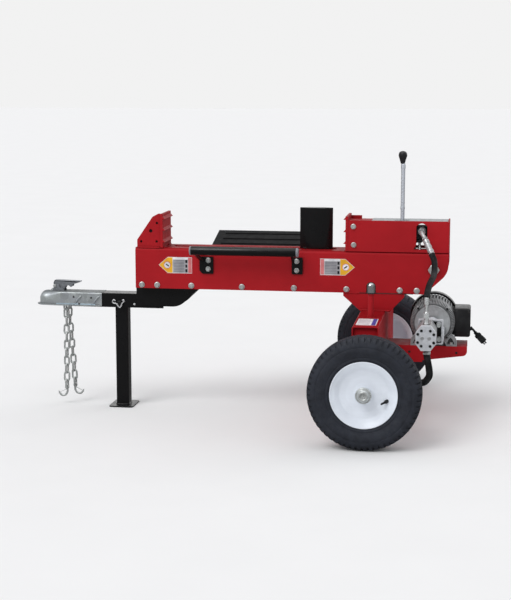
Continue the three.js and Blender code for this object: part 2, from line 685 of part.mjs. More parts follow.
function couplerBody() {
  const { x, z, radius, wall, lip } = ball;
  const { right, bottom, top, halfWidth: w } = coupler;
  const shell = (inset) => {
    const r = radius - inset;
    const plan = outline([[x, -r], [x + 66, -w + inset], [right + inset, -w + inset],
      [right + inset, w - inset], [x + 66, w - inset], [x, r]]);
    const dome = new THREE.SphereGeometry(r, 16, 8).rotateX(Math.PI / 2).translate(x, 0, z);
    const skirt = bottom - 3 * inset;
    return join(flatPlate(plan, skirt, top - inset - 2), dome, barZ(x, 0, skirt, z, r, 16));
  };
  const lipPlan = new THREE.Shape();
  lipPlan.moveTo(x, -radius - lip);
  lipPlan.lineTo(x + 120, -w - 5);
  lipPlan.lineTo(x + 120, w + 5);
  lipPlan.lineTo(x, radius + lip);
  lipPlan.absarc(x, 0, radius + lip, Math.PI / 2, 1.5 * Math.PI, false);
  const earOutline = outline([[latchPivot.x - 19, top - 22], [latchPivot.x + 23, top - 22],
    [latchPivot.x + 14, latchPivot.z + 6], [latchPivot.x - 6, latchPivot.z + 6]]);
  const ears = [-17, 17].map((y) => sidePlate(earOutline, y - 2, y + 2));
  const outer = shell(0).add(solid(flatPlate(lipPlan, bottom, bottom + 4)));
  const body = ears.reduce((sum, ear) => sum.add(solid(ear)), outer);
  const bar = barY(chainBar.x, chainBar.z, -w + 2, w - 2, chainBar.radius, 12);
  const hollow = shell(wall).add(solid(block(right - 10, right + 10, -w + wall, w - wall, 390, top - 5.5)));
  return cut(body.subtract(hollow).add(solid(bar)), barY(latchPivot.x, latchPivot.z, -30, 30, 4.3, 12));
}

function latch() {
  const { x, z } = latchPivot;
  const shape = outline([[x - 8, z - 6], [x - 5, z - 12], [x, z - 14], [-1246, z - 14], [-1242, z - 7],
    [-1235, z - 2], [-1226, z - 7], [-1216, z - 4], [-1214, z + 5], [-1200, z + 9], [-1183, z + 14],
    [-1179, z + 17], [-1182, z + 20], [x - 4, z + 22], [x - 9, z + 14]]);
  return joined(sidePlate(shape, -14, 14), barY(x, z, -19, 19, 4, 12));
}

// a welded chain hanging from the coupler's cross bar, with an open hook on its lower end;
// leanX and leanY are the offsets of that end
function chain(y, leanX, leanY) {
  const wire = 3.5;
  const bend = 9.5;                      // bend radius of a link, to the wire's middle
  const straight = 9.3;                  // half of a link's straight part
  const pitch = 2 * (straight + bend - wire + 0.7);
  const links = 11;
  const firstZ = chainBar.z + chainBar.radius + gap + wire - bend - straight;

  const link = (i) => {
    const ring = new THREE.TorusGeometry(bend * Math.SQRT2, wire, 4, 4).rotateZ(Math.PI / 4);
    const position = ring.attributes.position;
    for (let k = 0; k < position.count; k += 1) {
      const up = position.getY(k);
      position.setY(k, up + Math.sign(up) * straight);
    }
    if (i % 2 === 0) ring.rotateX(Math.PI / 2);
    else ring.rotateY(Math.PI / 2).rotateX(Math.PI / 2).rotateZ(Math.PI / 2);
    const share = i / (links - 1);
    return ring.translate(chainBar.x + leanX * share, y + leanY * share, firstZ - i * pitch);
  };
  const pieces = Array.from({ length: links }, (_, i) => link(i));

  const side = Math.sign(leanX);
  const [x, z] = [chainBar.x + leanX, firstZ - (links - 1) * pitch - straight - bend + 2];
  const hook = hose([[x, y + leanY, z + 5], [x, y + leanY, z - 12], [x + side * 6, y + leanY, z - 26],
    [x + side * 20, y + leanY, z - 30], [x + side * 34, y + leanY, z - 18]], wire, 8, 6);
  return joined(...pieces, hook);
}

function legTube() {
  const { x, pivotZ, halfWidth: w, wall } = leg;
  const { length, width, thickness: t } = foot;
  const tube = block(x - w, x + w, -w, w, t - 1, pivotZ + 12);
  const inside = block(x - w + wall, x + w - wall, -w + wall, w - wall, t, pivotZ + 20);
  const sole = block(x - length / 2, x + length / 2, -width / 2, width / 2, 0, t);
  return cut(join(tube, sole), inside, barY(x, pivotZ, -60, 60, leg.pinRadius + 0.5, 12));
}

function hitchPin() {
  const { x, pivotZ: z, pinRadius } = leg;
  return joined(barY(x, z, -56, 50, pinRadius, 12), barY(x, z, -58, -48, pinRadius + 3, 12));
}

add('tongue', tongueChannel(), blackPaint);
add('tongue_bracket', tongueBracket(), blackPaint);
add('coupler', couplerBody(), zinc);
add('coupler_latch', latch(), zinc);
add('chain_near', chain(-15, -2, -8), zinc);
add('chain_far', chain(15, 19, 8), zinc);
add('leg', legTube(), blackPaint);
add('hitch_pin', hitchPin(), zinc);

// ---------------------------------------------------------------- log cradles
function cradleRail() {
  const { left, right, y, z, radius } = rail;
  const face = -beam.halfWidth - gap;
  const tube = barX(y, z, left, right, radius, 16);
  const plate = (x0, x1, z0, z1, corner) => sidePlate(outline([[x0, z0 + corner], [x0 + corner, z0],
    [x1, z0], [x1, z1], [x0, z1]]), face - 6, face);
  const arm = (x0, x1, shift) => {
    const strip = new THREE.Shape();
    strip.moveTo(face, 596);
    strip.lineTo(face - 6, 590);
    strip.lineTo(y - 6, z - 12);
    strip.lineTo(y + 4, z - 6);
    const bar = section(strip, x0, x1);
    if (shift) bar.applyMatrix4(new THREE.Matrix4().set(1, -shift / (face - y), 0, shift * face / (face - y),
      0, 1, 0, 0, 0, 0, 1, 0, 0, 0, 0, 1));
    return bar;
  };
  return joined(tube, plate(-681, -627, 548, 614, 12), plate(-321, -279, 553, 618, 3),
    arm(-681, -660, -22), arm(-321, -309, 0));
}

function logTrayShape() {
  const { left, right, innerY, innerZ, outerY, outerZ } = logTray;
  const face = beam.halfWidth + gap;
  const slope = (outerZ - innerZ) / (outerY - innerY);
  const sheet = outline([[innerY, innerZ], [outerY, outerZ], [outerY, outerZ - 22], [outerY - 4, outerZ - 23],
    [outerY - 4, outerZ - 5], [innerY, innerZ - 5]]);
  // three shallow grooves along the sheet
  const floorAt = (y) => innerZ + (y - innerY) * slope - 2.5;
  const grooves = [98, 150, 207].map((y) => section(outline([[y - 9, floorAt(y - 9)], [y + 9, floorAt(y + 9)],
    [y + 9, 700], [y - 9, 700]]), left + 32, right - 22));
  const arm = outline([[face, 550], [face, 612], [innerY + 6, innerZ - 4 + 6 * slope],
    [outerY - 3, outerZ - 4 - 3 * slope], [outerY - 3, outerZ - 20], [face + 8, 590], [face + 8, 550]]);
  const arms = [left + 8, right - 26].map((x) => section(arm, x, x + 6));
  const plates = [left, right - 50].map((x) => block(x, x + 46, face, face + 6, 550, 614));
  return joined(cut(section(sheet, left, right), ...grooves), ...arms, ...plates);
}

add('cradle_rail', cradleRail(), blackPaint);
add('log_tray', logTrayShape(), blackPaint);

// ---------------------------------------------------------------- place the origin
// the origin sits on the ground under the middle of the machine's length
machine.updateMatrixWorld(true);
const box = new THREE.Box3().setFromObject(machine, true);
machine.position.x = -(box.min.x + box.max.x) / 2;

export default machine;
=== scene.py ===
# Looks for the log splitter: materials, fine detail pieces, floor, light and camera.
# Sizes are in millimetres, measured from the wheel axle (x), the beam's middle plane (y) and the
# ground (z), and at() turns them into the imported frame's metres.
import math
import random

import bmesh
import bpy
from mathutils import Matrix, Vector


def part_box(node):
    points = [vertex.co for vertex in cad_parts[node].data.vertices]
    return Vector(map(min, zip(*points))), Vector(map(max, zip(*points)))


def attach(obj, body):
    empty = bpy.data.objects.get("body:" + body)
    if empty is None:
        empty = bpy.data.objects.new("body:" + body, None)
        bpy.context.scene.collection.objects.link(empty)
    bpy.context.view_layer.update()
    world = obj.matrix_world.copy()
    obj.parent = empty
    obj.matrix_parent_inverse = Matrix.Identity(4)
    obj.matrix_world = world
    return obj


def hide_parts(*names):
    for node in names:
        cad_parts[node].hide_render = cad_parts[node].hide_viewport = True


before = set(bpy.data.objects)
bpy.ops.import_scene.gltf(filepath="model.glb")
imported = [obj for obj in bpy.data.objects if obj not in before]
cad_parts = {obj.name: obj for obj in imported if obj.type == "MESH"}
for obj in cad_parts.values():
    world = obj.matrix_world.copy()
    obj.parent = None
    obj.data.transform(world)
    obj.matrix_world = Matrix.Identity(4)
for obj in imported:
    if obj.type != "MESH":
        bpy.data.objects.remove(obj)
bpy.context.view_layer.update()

MM = 0.001
tyre_low, tyre_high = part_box("tyre_near")
AXLE_X = (tyre_low.x + tyre_high.x) / 2
X, Y, Z = Vector((1, 0, 0)), Vector((0, 1, 0)), Vector((0, 0, 1))
TURN = 2 * math.pi
SEAM = 2e-6  # metres within which two points are one
rng = random.Random(7)


def at(x, y, z):
    """A point in millimetres from the axle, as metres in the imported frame."""
    return Vector((AXLE_X + x * MM, y * MM, z * MM))


# ---- materials
class Nodes:
    """Builds the node tree of one material or world."""

    def __init__(self, owner):
        owner.use_nodes = True
        self.owner = owner
        self.tree = owner.node_tree
        self.tree.nodes.clear()
        self.coordinates = self.add("TexCoord").outputs
        self.place = self.coordinates["Object"]

    def add(self, kind, inputs=(), **settings):
        node = self.tree.nodes.new("ShaderNode" + kind)
        for key, value in settings.items():
            setattr(node, key, value)
        for key, value in dict(inputs).items():
            self.feed(node.inputs[key], value)
        return node

    def feed(self, socket, value):
        """Links another node's output to the socket, or sets the socket to a plain value."""
        if isinstance(value, bpy.types.NodeSocket):
            self.tree.links.new(value, socket)
        else:
            socket.default_value = value

    def noise(self, scale, detail, rough=0.55, place=None):
        inputs = {"Vector": place or self.place, "Scale": scale, "Detail": detail, "Roughness": rough}
        return self.add("TexNoise", inputs).outputs["Fac"]

    def spread(self, value, low, high, start=0.3, end=0.7):
        """Stretches a 0 to 1 pattern to the range low to high."""
        inputs = {"Value": value, "From Min": start, "From Max": end, "To Min": low, "To Max": high}
        return self.add("MapRange", inputs).outputs["Result"]

    def mix(self, factor, a, b):
        """Colour a where factor is 0 and colour b where it is 1."""
        node = self.add("Mix", data_type="RGBA")
        for socket, value in zip((0, 6, 7), (factor, a, b)):
            self.feed(node.inputs[socket], value)
        return node.outputs[2]

    def math(self, operation, a, b):
        return self.add("Math", {0: a, 1: b}, operation=operation).outputs[0]

    def corners(self, base, color, amount, distance, start=0.2, end=0.85, samples=6):
        """base, turned towards color by amount where the surface is hemmed in: painted shade in corners
        and hollows.
        """
        reach = self.add("AmbientOcclusion", {"Distance": distance}, samples=samples).outputs["AO"]
        closed_in = self.spread(reach, 1.0, 0.0, start, end)
        return self.mix(self.math("MULTIPLY", closed_in, amount), base, color)

    def mottled(self, color, low, high, scale, detail, rough=0.55):
        """color in patches between low and high times its brightness."""
        patches = self.spread(self.noise(scale, detail, rough), 0.0, 1.0)
        return self.mix(patches, shade(color, low), shade(color, high))

    def upward(self, amount):
        """amount where the surface faces up, 0 on its sides."""
        normal = self.add("NewGeometry").outputs["True Normal"]
        rise = self.add("SeparateXYZ", {0: normal}).outputs["Z"]
        return self.spread(rise, 0.0, amount, 0.5, 0.85)

    def without(self, value, share):
        """value, less the given share of it."""
        return self.math("MULTIPLY", self.math("SUBTRACT", 1.0, share), value)

    def bump(self, height, strength, distance, normal=None):
        inputs = {"Height": height, "Strength": strength, "Distance": distance}
        if normal:
            inputs["Normal"] = normal
        return self.add("Bump", inputs).outputs["Normal"]

    def finish(self, **inputs):
        names = {key.replace("_", " "): value for key, value in inputs.items()}
        shader = self.add("BsdfPrincipled", names)
        self.add("OutputMaterial", {"Surface": shader.outputs[0]})
        return self.owner


def new_nodes(name):
    return Nodes(bpy.data.materials.new(name))


def srgb(r, g, b):
    """A colour given as 0 to 255 screen values."""
    def linear(value):
        value /= 255
        return value / 12.92 if value <= 0.04045 else ((value + 0.055) / 1.055) ** 2.4
    return (linear(r), linear(g), linear(b), 1.0)


def shade(color, factor):
    return (*(min(1.0, c * factor) for c in color[:3]), 1.0)


def paint(name, color, roughness, coat, corner_shade=0.45, shine=0.4, top_shade=0.0):
    """Sprayed enamel: slight orange peel, uneven tone and dust specks, with painted shade: darker
    corners, and darker, less shiny faces that look up."""
    n = new_nodes(name)
    base = n.mottled(color, 0.9, 1.08, 7, 4)
    streak = n.add("Mapping", {"Vector": n.place, "Scale": (3, 3, 26)}).outputs[0]
    base = n.mix(n.spread(n.noise(4, 3, place=streak), 0.0, 0.12), base, shade(color, 0.8))
    dust = n.spread(n.noise(170, 5, 0.75), 0.0, 0.05, 0.6, 0.78)
    base = n.mix(dust, base, DUST)
    # painted shade: darker where the surface is hemmed in
    base = n.corners(base, shade(color, 0.22), corner_shade, 0.03, 0.25)
    # painted shade: the faces that look up are darker and lose some shine
    up = n.upward(top_shade)
    base = n.mix(up, base, shade(color, 0.2))
    rough = n.spread(n.noise(45, 4), roughness - 0.05, roughness + 0.1)
    peel = n.bump(n.noise(650, 2), 0.05, 0.0004)
    dents = n.bump(n.noise(14, 2), 0.12, 0.0012, peel)
    return n.finish(Base_Color=base, Roughness=rough, Normal=dents, Coat_Weight=coat, Coat_Roughness=0.12,
                    Specular_IOR_Level=n.without(shine, up))


def plated(name, color, roughness=0.32, tint=None, spangle=90, corner_shade=0.5, metallic=0.62, top_shade=0.0):
    """Zinc plate or galvanising: crystal spangle, a colour drift and dull patches. Painted shade darkens
    the corners and the faces that look up, as in paint.
    """
    n = new_nodes(name)
    crystals = n.add("TexVoronoi", {"Vector": n.place, "Scale": spangle}).outputs["Color"]
    value = n.add("SeparateColor", {"Color": crystals}).outputs[0]
    base = n.mix(n.spread(value, 0.0, 1.0, 0.0, 1.0), shade(color, 0.82), shade(color, 1.12))
    if tint:
        base = n.mix(n.spread(n.noise(24, 2), 0.0, 0.5, 0.42, 0.62), base, tint)
    base = n.mix(n.spread(n.noise(120, 5, 0.7), 0.0, 0.35, 0.5, 0.7), base, shade(color, 0.6))
    # painted shade: darker where the surface is hemmed in
    base = n.corners(base, shade(color, 0.12), corner_shade, 0.012)
    # painted shade: the faces that look up are darker, duller and less metallic
    up = n.upward(top_shade)
    base = n.mix(up, base, shade(color, 0.2))
    rough = n.spread(n.noise(70, 4), roughness - 0.08, roughness + 0.16)
    grain = n.bump(n.noise(900, 3), 0.12, 0.0003)
    return n.finish(Base_Color=base, Metallic=n.without(metallic, up), Roughness=rough, Normal=grain,
                    Specular_IOR_Level=n.without(0.5, up))


def cast_metal(name, color, metallic, roughness=0.48):
    """Sand or die cast surface: pitted and mottled, with painted shade in the hollows."""
    n = new_nodes(name)
    base = n.mottled(color, 0.84, 1.12, 60, 5, 0.65)
    # painted shade: dark where the surface is hemmed in
    base = n.corners(base, shade(color, 0.07), 0.8, 0.02, end=0.9, samples=8)
    rough = n.spread(n.noise(140, 3), roughness - 0.08, roughness + 0.14)
    pits = n.bump(n.noise(420, 4, 0.7), 0.35, 0.0009)
    return n.finish(Base_Color=base, Metallic=metallic, Roughness=rough, Normal=pits)


def polymer(name, color, roughness, grain=700, dust=0.25, depth=0.0005, dust_color=(0.2, 0.2, 0.2, 1),
            shine=0.5):
    """Rubber or moulded plastic: fine texture with a little dust."""
    n = new_nodes(name)
    base = n.mottled(color, 0.8, 1.25, 30, 4)
    base = n.mix(n.spread(n.noise(11, 5, 0.7), 0.0, dust, 0.45, 0.75), base, dust_color)
    rough = n.spread(n.noise(90, 3), roughness - 0.07, roughness + 0.12)
    skin = n.bump(n.noise(grain, 3), 0.3, depth)
    return n.finish(Base_Color=base, Roughness=rough, Normal=skin, Specular_IOR_Level=shine)


def polished(name, color, roughness=0.1, metallic=1.0, rim=0.0):
    """Bright plating with smudges. rim paints a dark reflection on the parts that turn away from the
    viewer.
    """
    n = new_nodes(name)
    base = n.mottled(color, 0.9, 1.05, 50, 4)
    # painted reflection: darker towards the outline
    if rim:
        facing = n.add("LayerWeight", {"Blend": 0.5}).outputs["Facing"]
        base = n.mix(n.spread(facing, 0.0, rim, 0.12, 0.5), base, shade(color, 0.05))
    smudge = n.spread(n.noise(160, 5, 0.7), roughness, roughness + 0.16, 0.4, 0.75)
    marks = n.bump(n.noise(500, 2), 0.04, 0.0002)
    return n.finish(Base_Color=base, Metallic=metallic, Roughness=smudge, Normal=marks)


def sticker(name, color, faded, dust=0.1):
    """A printed film in one plain colour."""
    return polymer(name, srgb(*color), 0.4, 1500, dust, 0.0001, srgb(*faded))


DUST = srgb(150, 146, 142)
RED = srgb(174, 27, 35)
BLACK = srgb(14, 14, 16)
# The corner and top amounts below set painted shade: darker corners on most finishes, and darker tops on
# red_paint, blue_zinc and galvanised.
red_paint = paint("red_paint", RED, 0.45, 0.0, shine=0.13, top_shade=0.35)
tray_black = paint("tray_black", BLACK, 0.5, 0.0, corner_shade=0.3, shine=0.15)
black_paint = paint("black_paint", BLACK, 0.3, 0.15, corner_shade=0.3)
white_paint = paint("white_paint", srgb(232, 238, 247), 0.35, 0.2, 0.3)
motor_grey = paint("motor_grey", srgb(150, 154, 156), 0.4, 0.1, corner_shade=0.8)
zinc = plated("zinc", (0.72, 0.75, 0.74, 1))
blue_zinc = plated("blue_zinc", (0.56, 0.6, 0.6, 1), 0.42, tint=(0.5, 0.53, 0.6, 1), spangle=45, top_shade=0.8)
# a pale, almost unmetallic blue-grey for the painted highlight along the coupler's foot
pale_band_highlight = plated("pale_band_highlight", (0.52, 0.65, 0.74, 1), 0.36, spangle=60, corner_shade=0.0, metallic=0.1)
galvanised = plated("galvanised", (0.5, 0.52, 0.54, 1), 0.42, spangle=130, corner_shade=0.2, top_shade=0.3)
steel = plated("ground_steel", (0.56, 0.57, 0.58, 1), 0.34, spangle=260)
latch_steel = plated("latch_steel", (0.34, 0.36, 0.39, 1), 0.4, spangle=200)
chrome = polished("chrome", (0.82, 0.83, 0.85, 1))
cap_chrome = polished("cap_chrome", (0.8, 0.82, 0.83, 1), 0.12, rim=0.95)
bar_chrome = polished("bar_chrome", (0.76, 0.8, 0.87, 1), 0.25, 0.35, rim=0.5)
fitting = polished("fitting_plate", (0.8, 0.82, 0.82, 1), 0.22, 0.45, rim=0.7)
wire = polished("bright_wire", (0.85, 0.86, 0.87, 1), 0.25, 0.5)
aluminium = cast_metal("cast_aluminium", (0.74, 0.76, 0.8, 1), 0.35)
cast_grey = cast_metal("cast_grey", (0.4, 0.41, 0.42, 1), 0.4)
bell_metal = cast_metal("bell_metal", (0.52, 0.54, 0.55, 1), 0.35)
iron = cast_metal("cast_iron", (0.06, 0.062, 0.066, 1), 0.3, 0.55)
rubber = polymer("rubber", srgb(17, 20, 22), 0.62, 900, shine=0.2)
tyre_rubber = polymer("tyre_rubber", srgb(34, 38, 48), 0.72, 520, 0.3, 0.0007, srgb(66, 70, 80))
plastic = polymer("black_plastic", srgb(26, 26, 29), 0.36, 1300, 0.12, 0.0003)
dark = polymer("dark_inside", srgb(12, 12, 13), 0.8)
black_oxide = polymer("black_oxide", srgb(18, 19, 21), 0.4)
amber = sticker("label_amber", (247, 178, 32), (190, 130, 30), 0.08)
label_white = sticker("label_white", (232, 233, 238), (190, 190, 195))
label_grey = sticker("label_grey", (168, 168, 172), (140, 140, 144))
label_red = sticker("label_red", (214, 120, 122), (190, 110, 110))
label_blue = sticker("label_blue", (60, 74, 158), (70, 84, 150))
label_dim = sticker("label_dim", (132, 132, 138), (110, 110, 114))
label_black = polymer("label_black", srgb(24, 24, 30), 0.4, 1500, 0.05, 0.0001)


# ---- mesh helpers
# Holds the faces of the piece that is being made. The helpers add to it, and piece() empties it.
work = bmesh.new()


def loft(rings, closed=True, wrap=False, slot=0):
    """Joins rings of points in millimetres with quads.

    closed: each ring is a loop. wrap: the last ring meets the first, so there are no end caps."""
    made = [[work.verts.new(at(*point)) for point in ring] for ring in rings]
    nexts = made[1:] + (made[:1] if wrap else [])
    count = len(made[0])
    for a, b in zip(made, nexts):
        for i in range(count if closed else count - 1):
            j = (i + 1) % count
            work.faces.new((a[i], a[j], b[j], b[i])).material_index = slot
    if not wrap:
        work.faces.new(made[0][::-1]).material_index = slot
        work.faces.new(made[-1]).material_index = slot


def rounded(points, radius, steps=4, closed=True):
    """An outline with each corner turned into a short arc. A point's third number is its own radius."""
    result = []
    for i, point in enumerate(points):
        here = Vector(point[:2])
        r = point[2] if len(point) > 2 else radius
        if r <= 0 or (not closed and i in (0, len(points) - 1)):
            result.append(tuple(here))
            continue
        back = Vector(points[i - 1][:2]) - here
        on = Vector(points[(i + 1) % len(points)][:2]) - here
        half = back.angle(on) / 2
        if half > 1.52:
            result.append(tuple(here))
            continue
        cut = min(r / math.tan(half), 0.48 * back.length, 0.48 * on.length)
        start, end = here + back.normalized() * cut, here + on.normalized() * cut
        for k in range(steps + 1):
            t = k / steps
            result.append(tuple(start * (1 - t) ** 2 + here * (2 * t * (1 - t)) + end * t * t))
    return result


def side_plate(outline, y0, y1, slot=0):
    """A plate whose outline lies in X-Z."""
    loft([[(x, y, z) for x, z in outline] for y in (y0, y1)], slot=slot)


def flat_plate(outline, z0, z1, slot=0):
    """A plate whose outline lies in X-Y."""
    loft([[(x, y, z) for x, y in outline] for z in (z0, z1)], slot=slot)


def bar(half_side, half_up):
    """A rectangle to sweep along a path."""
    return [(-half_side, -half_up), (half_side, -half_up), (half_side, half_up), (-half_side, half_up)]


def box(x0, x1, y0, y1, z0, z1):
    side_plate([(x0, z0), (x1, z0), (x1, z1), (x0, z1)], y0, y1)


def oblong(x0, x1, z0, z1, radius, steps=4):
    """A rectangle with rounded corners."""
    return rounded([(x0, z0), (x1, z0), (x1, z1), (x0, z1)], radius, steps)


def axes_of(axis):
    w = Vector(axis).normalized()
    u = (X if abs(w.x) < 0.9 else Z).cross(w).normalized()
    return u, w.cross(u), w


def turned(profile, origin, axis, steps, closed=False, slot=0):
    """A lathe piece. profile holds (radius, distance along axis), and is a loop if closed."""
    u, v, w = axes_of(axis)
    origin = Vector(origin)
    rings = []
    for k in range(steps):
        angle = TURN * k / steps
        out = u * math.cos(angle) + v * math.sin(angle)
        rings.append([tuple(origin + out * r + w * a) for r, a in profile])
    loft(rings, closed=closed, wrap=True, slot=slot)


def drum(radius, low, high, origin, axis, steps, slot=0):
    """A plain cylinder from low to high along its axis."""
    turned([(0, low), (radius, low), (radius, high), (0, high)], origin, axis, steps, slot=slot)


def domed(profile, radius, corner_steps, origin, axis, steps):
    """A lathe piece with rounded corners, whose profile starts and ends on the axis."""
    turned(rounded(profile, radius, corner_steps, closed=False), origin, axis, steps)


def comb(tooth, notch, count, origin, axis, share):
    """A lathe piece whose profile changes between tooth and notch, count times round."""
    u, v, w = axes_of(axis)
    origin = Vector(origin)
    rings = []
    for k in range(count):
        stops = (0.0, tooth), (share / 2, tooth), (share, tooth), (share + 0.06, notch), (0.94, notch)
        for part, profile in stops:
            angle = TURN * (k + part) / count
            out = u * math.cos(angle) + v * math.sin(angle)
            rings.append([tuple(origin + out * r + w * a) for r, a in profile])
    loft(rings, wrap=True)


def smooth_path(points, steps):
    """A Catmull-Rom curve through the points."""
    p = [Vector(point) for point in points]
    p = [p[0] * 2 - p[1]] + p + [p[-1] * 2 - p[-2]]
    result = []
    for i in range(1, len(p) - 2):
        for k in range(steps):
            t = k / steps
            a, b, c, d = p[i - 1:i + 3]
            result.append(0.5 * ((2 * b) + (c - a) * t + (2 * a - 5 * b + 4 * c - d) * t * t
                                 + (3 * b - a - 3 * c + d) * t ** 3))
    return result + [p[-2]]


def sweep(path, outline, loop=False, scale=None):
    """Draws an outline, given as (side, up) pairs, along a path."""
    path = [Vector(point) for point in path]
    count = len(path)
    rings = []
    side = None
    for i, here in enumerate(path):
        ahead = path[(i + 1) % count] if loop or i < count - 1 else here
        behind = path[i - 1] if loop or i > 0 else here
        forward = (ahead - behind).normalized()
        if side is None:
            side = (Z if abs(forward.z) < 0.9 else X).cross(forward).normalized()
        side = (side - forward * side.dot(forward)).normalized()
        up = forward.cross(side)
        size = scale(i / (count - 1)) if scale else 1.0
        rings.append([tuple(here + side * (a * size) + up * (b * size)) for a, b in outline])
    loft(rings, wrap=loop)


def circle(radius, sides):
    angles = [TURN * k / sides for k in range(sides)]
    return [(radius * math.cos(angle), radius * math.sin(angle)) for angle in angles]


def around(count, shift=0.0):
    """Unit vectors in X-Z, evenly spaced round a circle."""
    for k in range(count):
        angle = TURN * (k + shift) / count
        yield Vector((math.cos(angle), 0, math.sin(angle)))


def tube(path, radius, sides, loop=False, scale=None):
    sweep(path, circle(radius, sides), loop, scale)


def hexagon(origin, axis, across, height, turn=0.0):
    """A hexagon head or nut with a chamfered top."""
    u, v, w = axes_of(axis)
    origin = Vector(origin)
    corner = across / math.sqrt(3)
    flat = across / 2

    def ring(a, limit):
        points = []
        for k in range(24):
            angle = turn + TURN * k / 24
            local = (angle - turn) % (TURN / 6) - TURN / 12
            r = min(flat / math.cos(local), limit)
            points.append(tuple(origin + (u * math.cos(angle) + v * math.sin(angle)) * r + w * a))
        return points
    loft([ring(0, corner), ring(height * 0.82, corner), ring(height, flat * 0.96)])


def hex_bolt(origin, axis, across=16, height=8, washer=11.5):
    """A flange bolt seen from outside: washer face, head and a shallow dish on top."""
    flange = [(0, -0.5), (washer, -0.5), (washer, 1.2), (washer - 1, 2.2), (across * 0.45, 3), (0, 3)]
    turned(flange, origin, axis, 28)
    hexagon(Vector(origin) + Vector(axis) * 2, axis, across, height - 2, rng.uniform(0, 1))
    top = Vector(origin) + Vector(axis) * (height - 0.4)
    dish = [(across * 0.3, 0), (across * 0.34, 0.9), (across * 0.4, 0.9), (across * 0.43, 0)]
    turned(dish, top, axis, 24, closed=True)


def bevel_edges(obj, width, angle):
    edge = obj.modifiers.new("edges", "BEVEL")
    edge.width = width * MM
    edge.segments = 2
    edge.limit_method = "ANGLE"
    edge.angle_limit = math.radians(angle)
    return edge


def piece(name, materials, body="frame", bevel=0.0, stands_for=None, angle=32):
    """Turns the collected faces into one piece that rides on a CAD body."""
    bmesh.ops.remove_doubles(work, verts=work.verts, dist=SEAM)
    bmesh.ops.dissolve_degenerate(work, edges=work.edges, dist=SEAM)
    bmesh.ops.recalc_face_normals(work, faces=work.faces)
    mesh = bpy.data.meshes.new(name)
    work.to_mesh(mesh)
    work.clear()
    for material in materials if isinstance(materials, list) else [materials]:
        mesh.materials.append(material)
    mesh.shade_smooth()
    mesh.set_sharp_from_angle(angle=math.radians(angle))
    made = bpy.data.objects.new(name, mesh)
    bpy.context.scene.collection.objects.link(made)
    if bevel:
        bevel_edges(made, bevel, angle).harden_normals = True
    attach(made, body)
    if stands_for:
        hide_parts(stands_for)


def dress(node, material, bevel):
    """Gives a CAD node its finish, with its edges broken by a small bevel."""
    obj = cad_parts[node]
    mesh = obj.data
    mesh.materials.clear()
    mesh.materials.append(material)
    if "custom_normal" in mesh.attributes:
        mesh.attributes.remove(mesh.attributes["custom_normal"])
    mesh.shade_smooth()
    weld = obj.modifiers.new("weld", "WELD")
    weld.merge_threshold = SEAM
    flat = obj.modifiers.new("flat", "DECIMATE")
    flat.decimate_type = "DISSOLVE"
    flat.angle_limit = math.radians(1)
    bevel_edges(obj, bevel, 38)
    normals = obj.modifiers.new("normals", "WEIGHTED_NORMAL")
    normals.keep_sharp = True


# ---- CAD nodes that keep their shape
for material, bevel, nodes in (
    (red_paint, 1.2, "beam_housing left_push_plate left_gusset_near left_gusset_far right_push_plate"),
    (red_paint, 1.2, "valve_guard_near valve_guard_far valve_guard_end saddle tank motor_tray"),
    (black_paint, 1.0, "beam_bottom_guard wedge wedge_carriage tongue tongue_bracket"),
    (tray_black, 1.0, "log_tray"),
    (black_paint, 0.6, "cylinder_barrel"),
    (iron, 0.6, "cylinder_gland"),
    (iron, 0.8, "axle_spindle_near axle_spindle_far"),
    (iron, 1.5, "control_valve_body"),
    (chrome, 0.4, "cylinder_rod"),
    (chrome, 0.6, "valve_spool"),
    (zinc, 0.3, "cylinder_feed_tube"),
    (zinc, 0.6, "rod_pin"),
    (galvanised, 0.6, "valve_top_cover"),
    (steel, 0.4, "motor_rotor pump_gear"),
):
    for node in nodes.split():
        dress(node, material, bevel)


# ---- wheels
HALF_TRACK = 541
AXLE_Z = 203


def tyre_profile(drop):
    """A tyre's section: one half from the bead to the middle, then its mirror image. drop is 0 on a
    shoulder block and 1 between two blocks."""
    half = [(107.6, 43.0), (114, 45.4), (121, 46.2), (124, 47.6), (127, 50.6), (131, 50.8), (134, 49.6),
            (146, 54.2), (158, 56), (168, 55.4), (170, 54.2), (172, 55.0), (180, 52.6), (186, 50.2),
            (192 - 3.5 * drop, 47 - 1.2 * drop), (198 - 6 * drop, 41.5 - 2.0 * drop),
            (201.2 - 6.5 * drop, 35 - 1.0 * drop), (202 - 5.5 * drop, 29), (202.3, 25.5), (202.2, 24),
            (196.5, 22.6), (196.5, 19.4), (202.6, 18), (202.9, 16), (203, 4.2), (202.8, 3), (197, 2)]
    return half + [(r, -a) for r, a in reversed(half)]


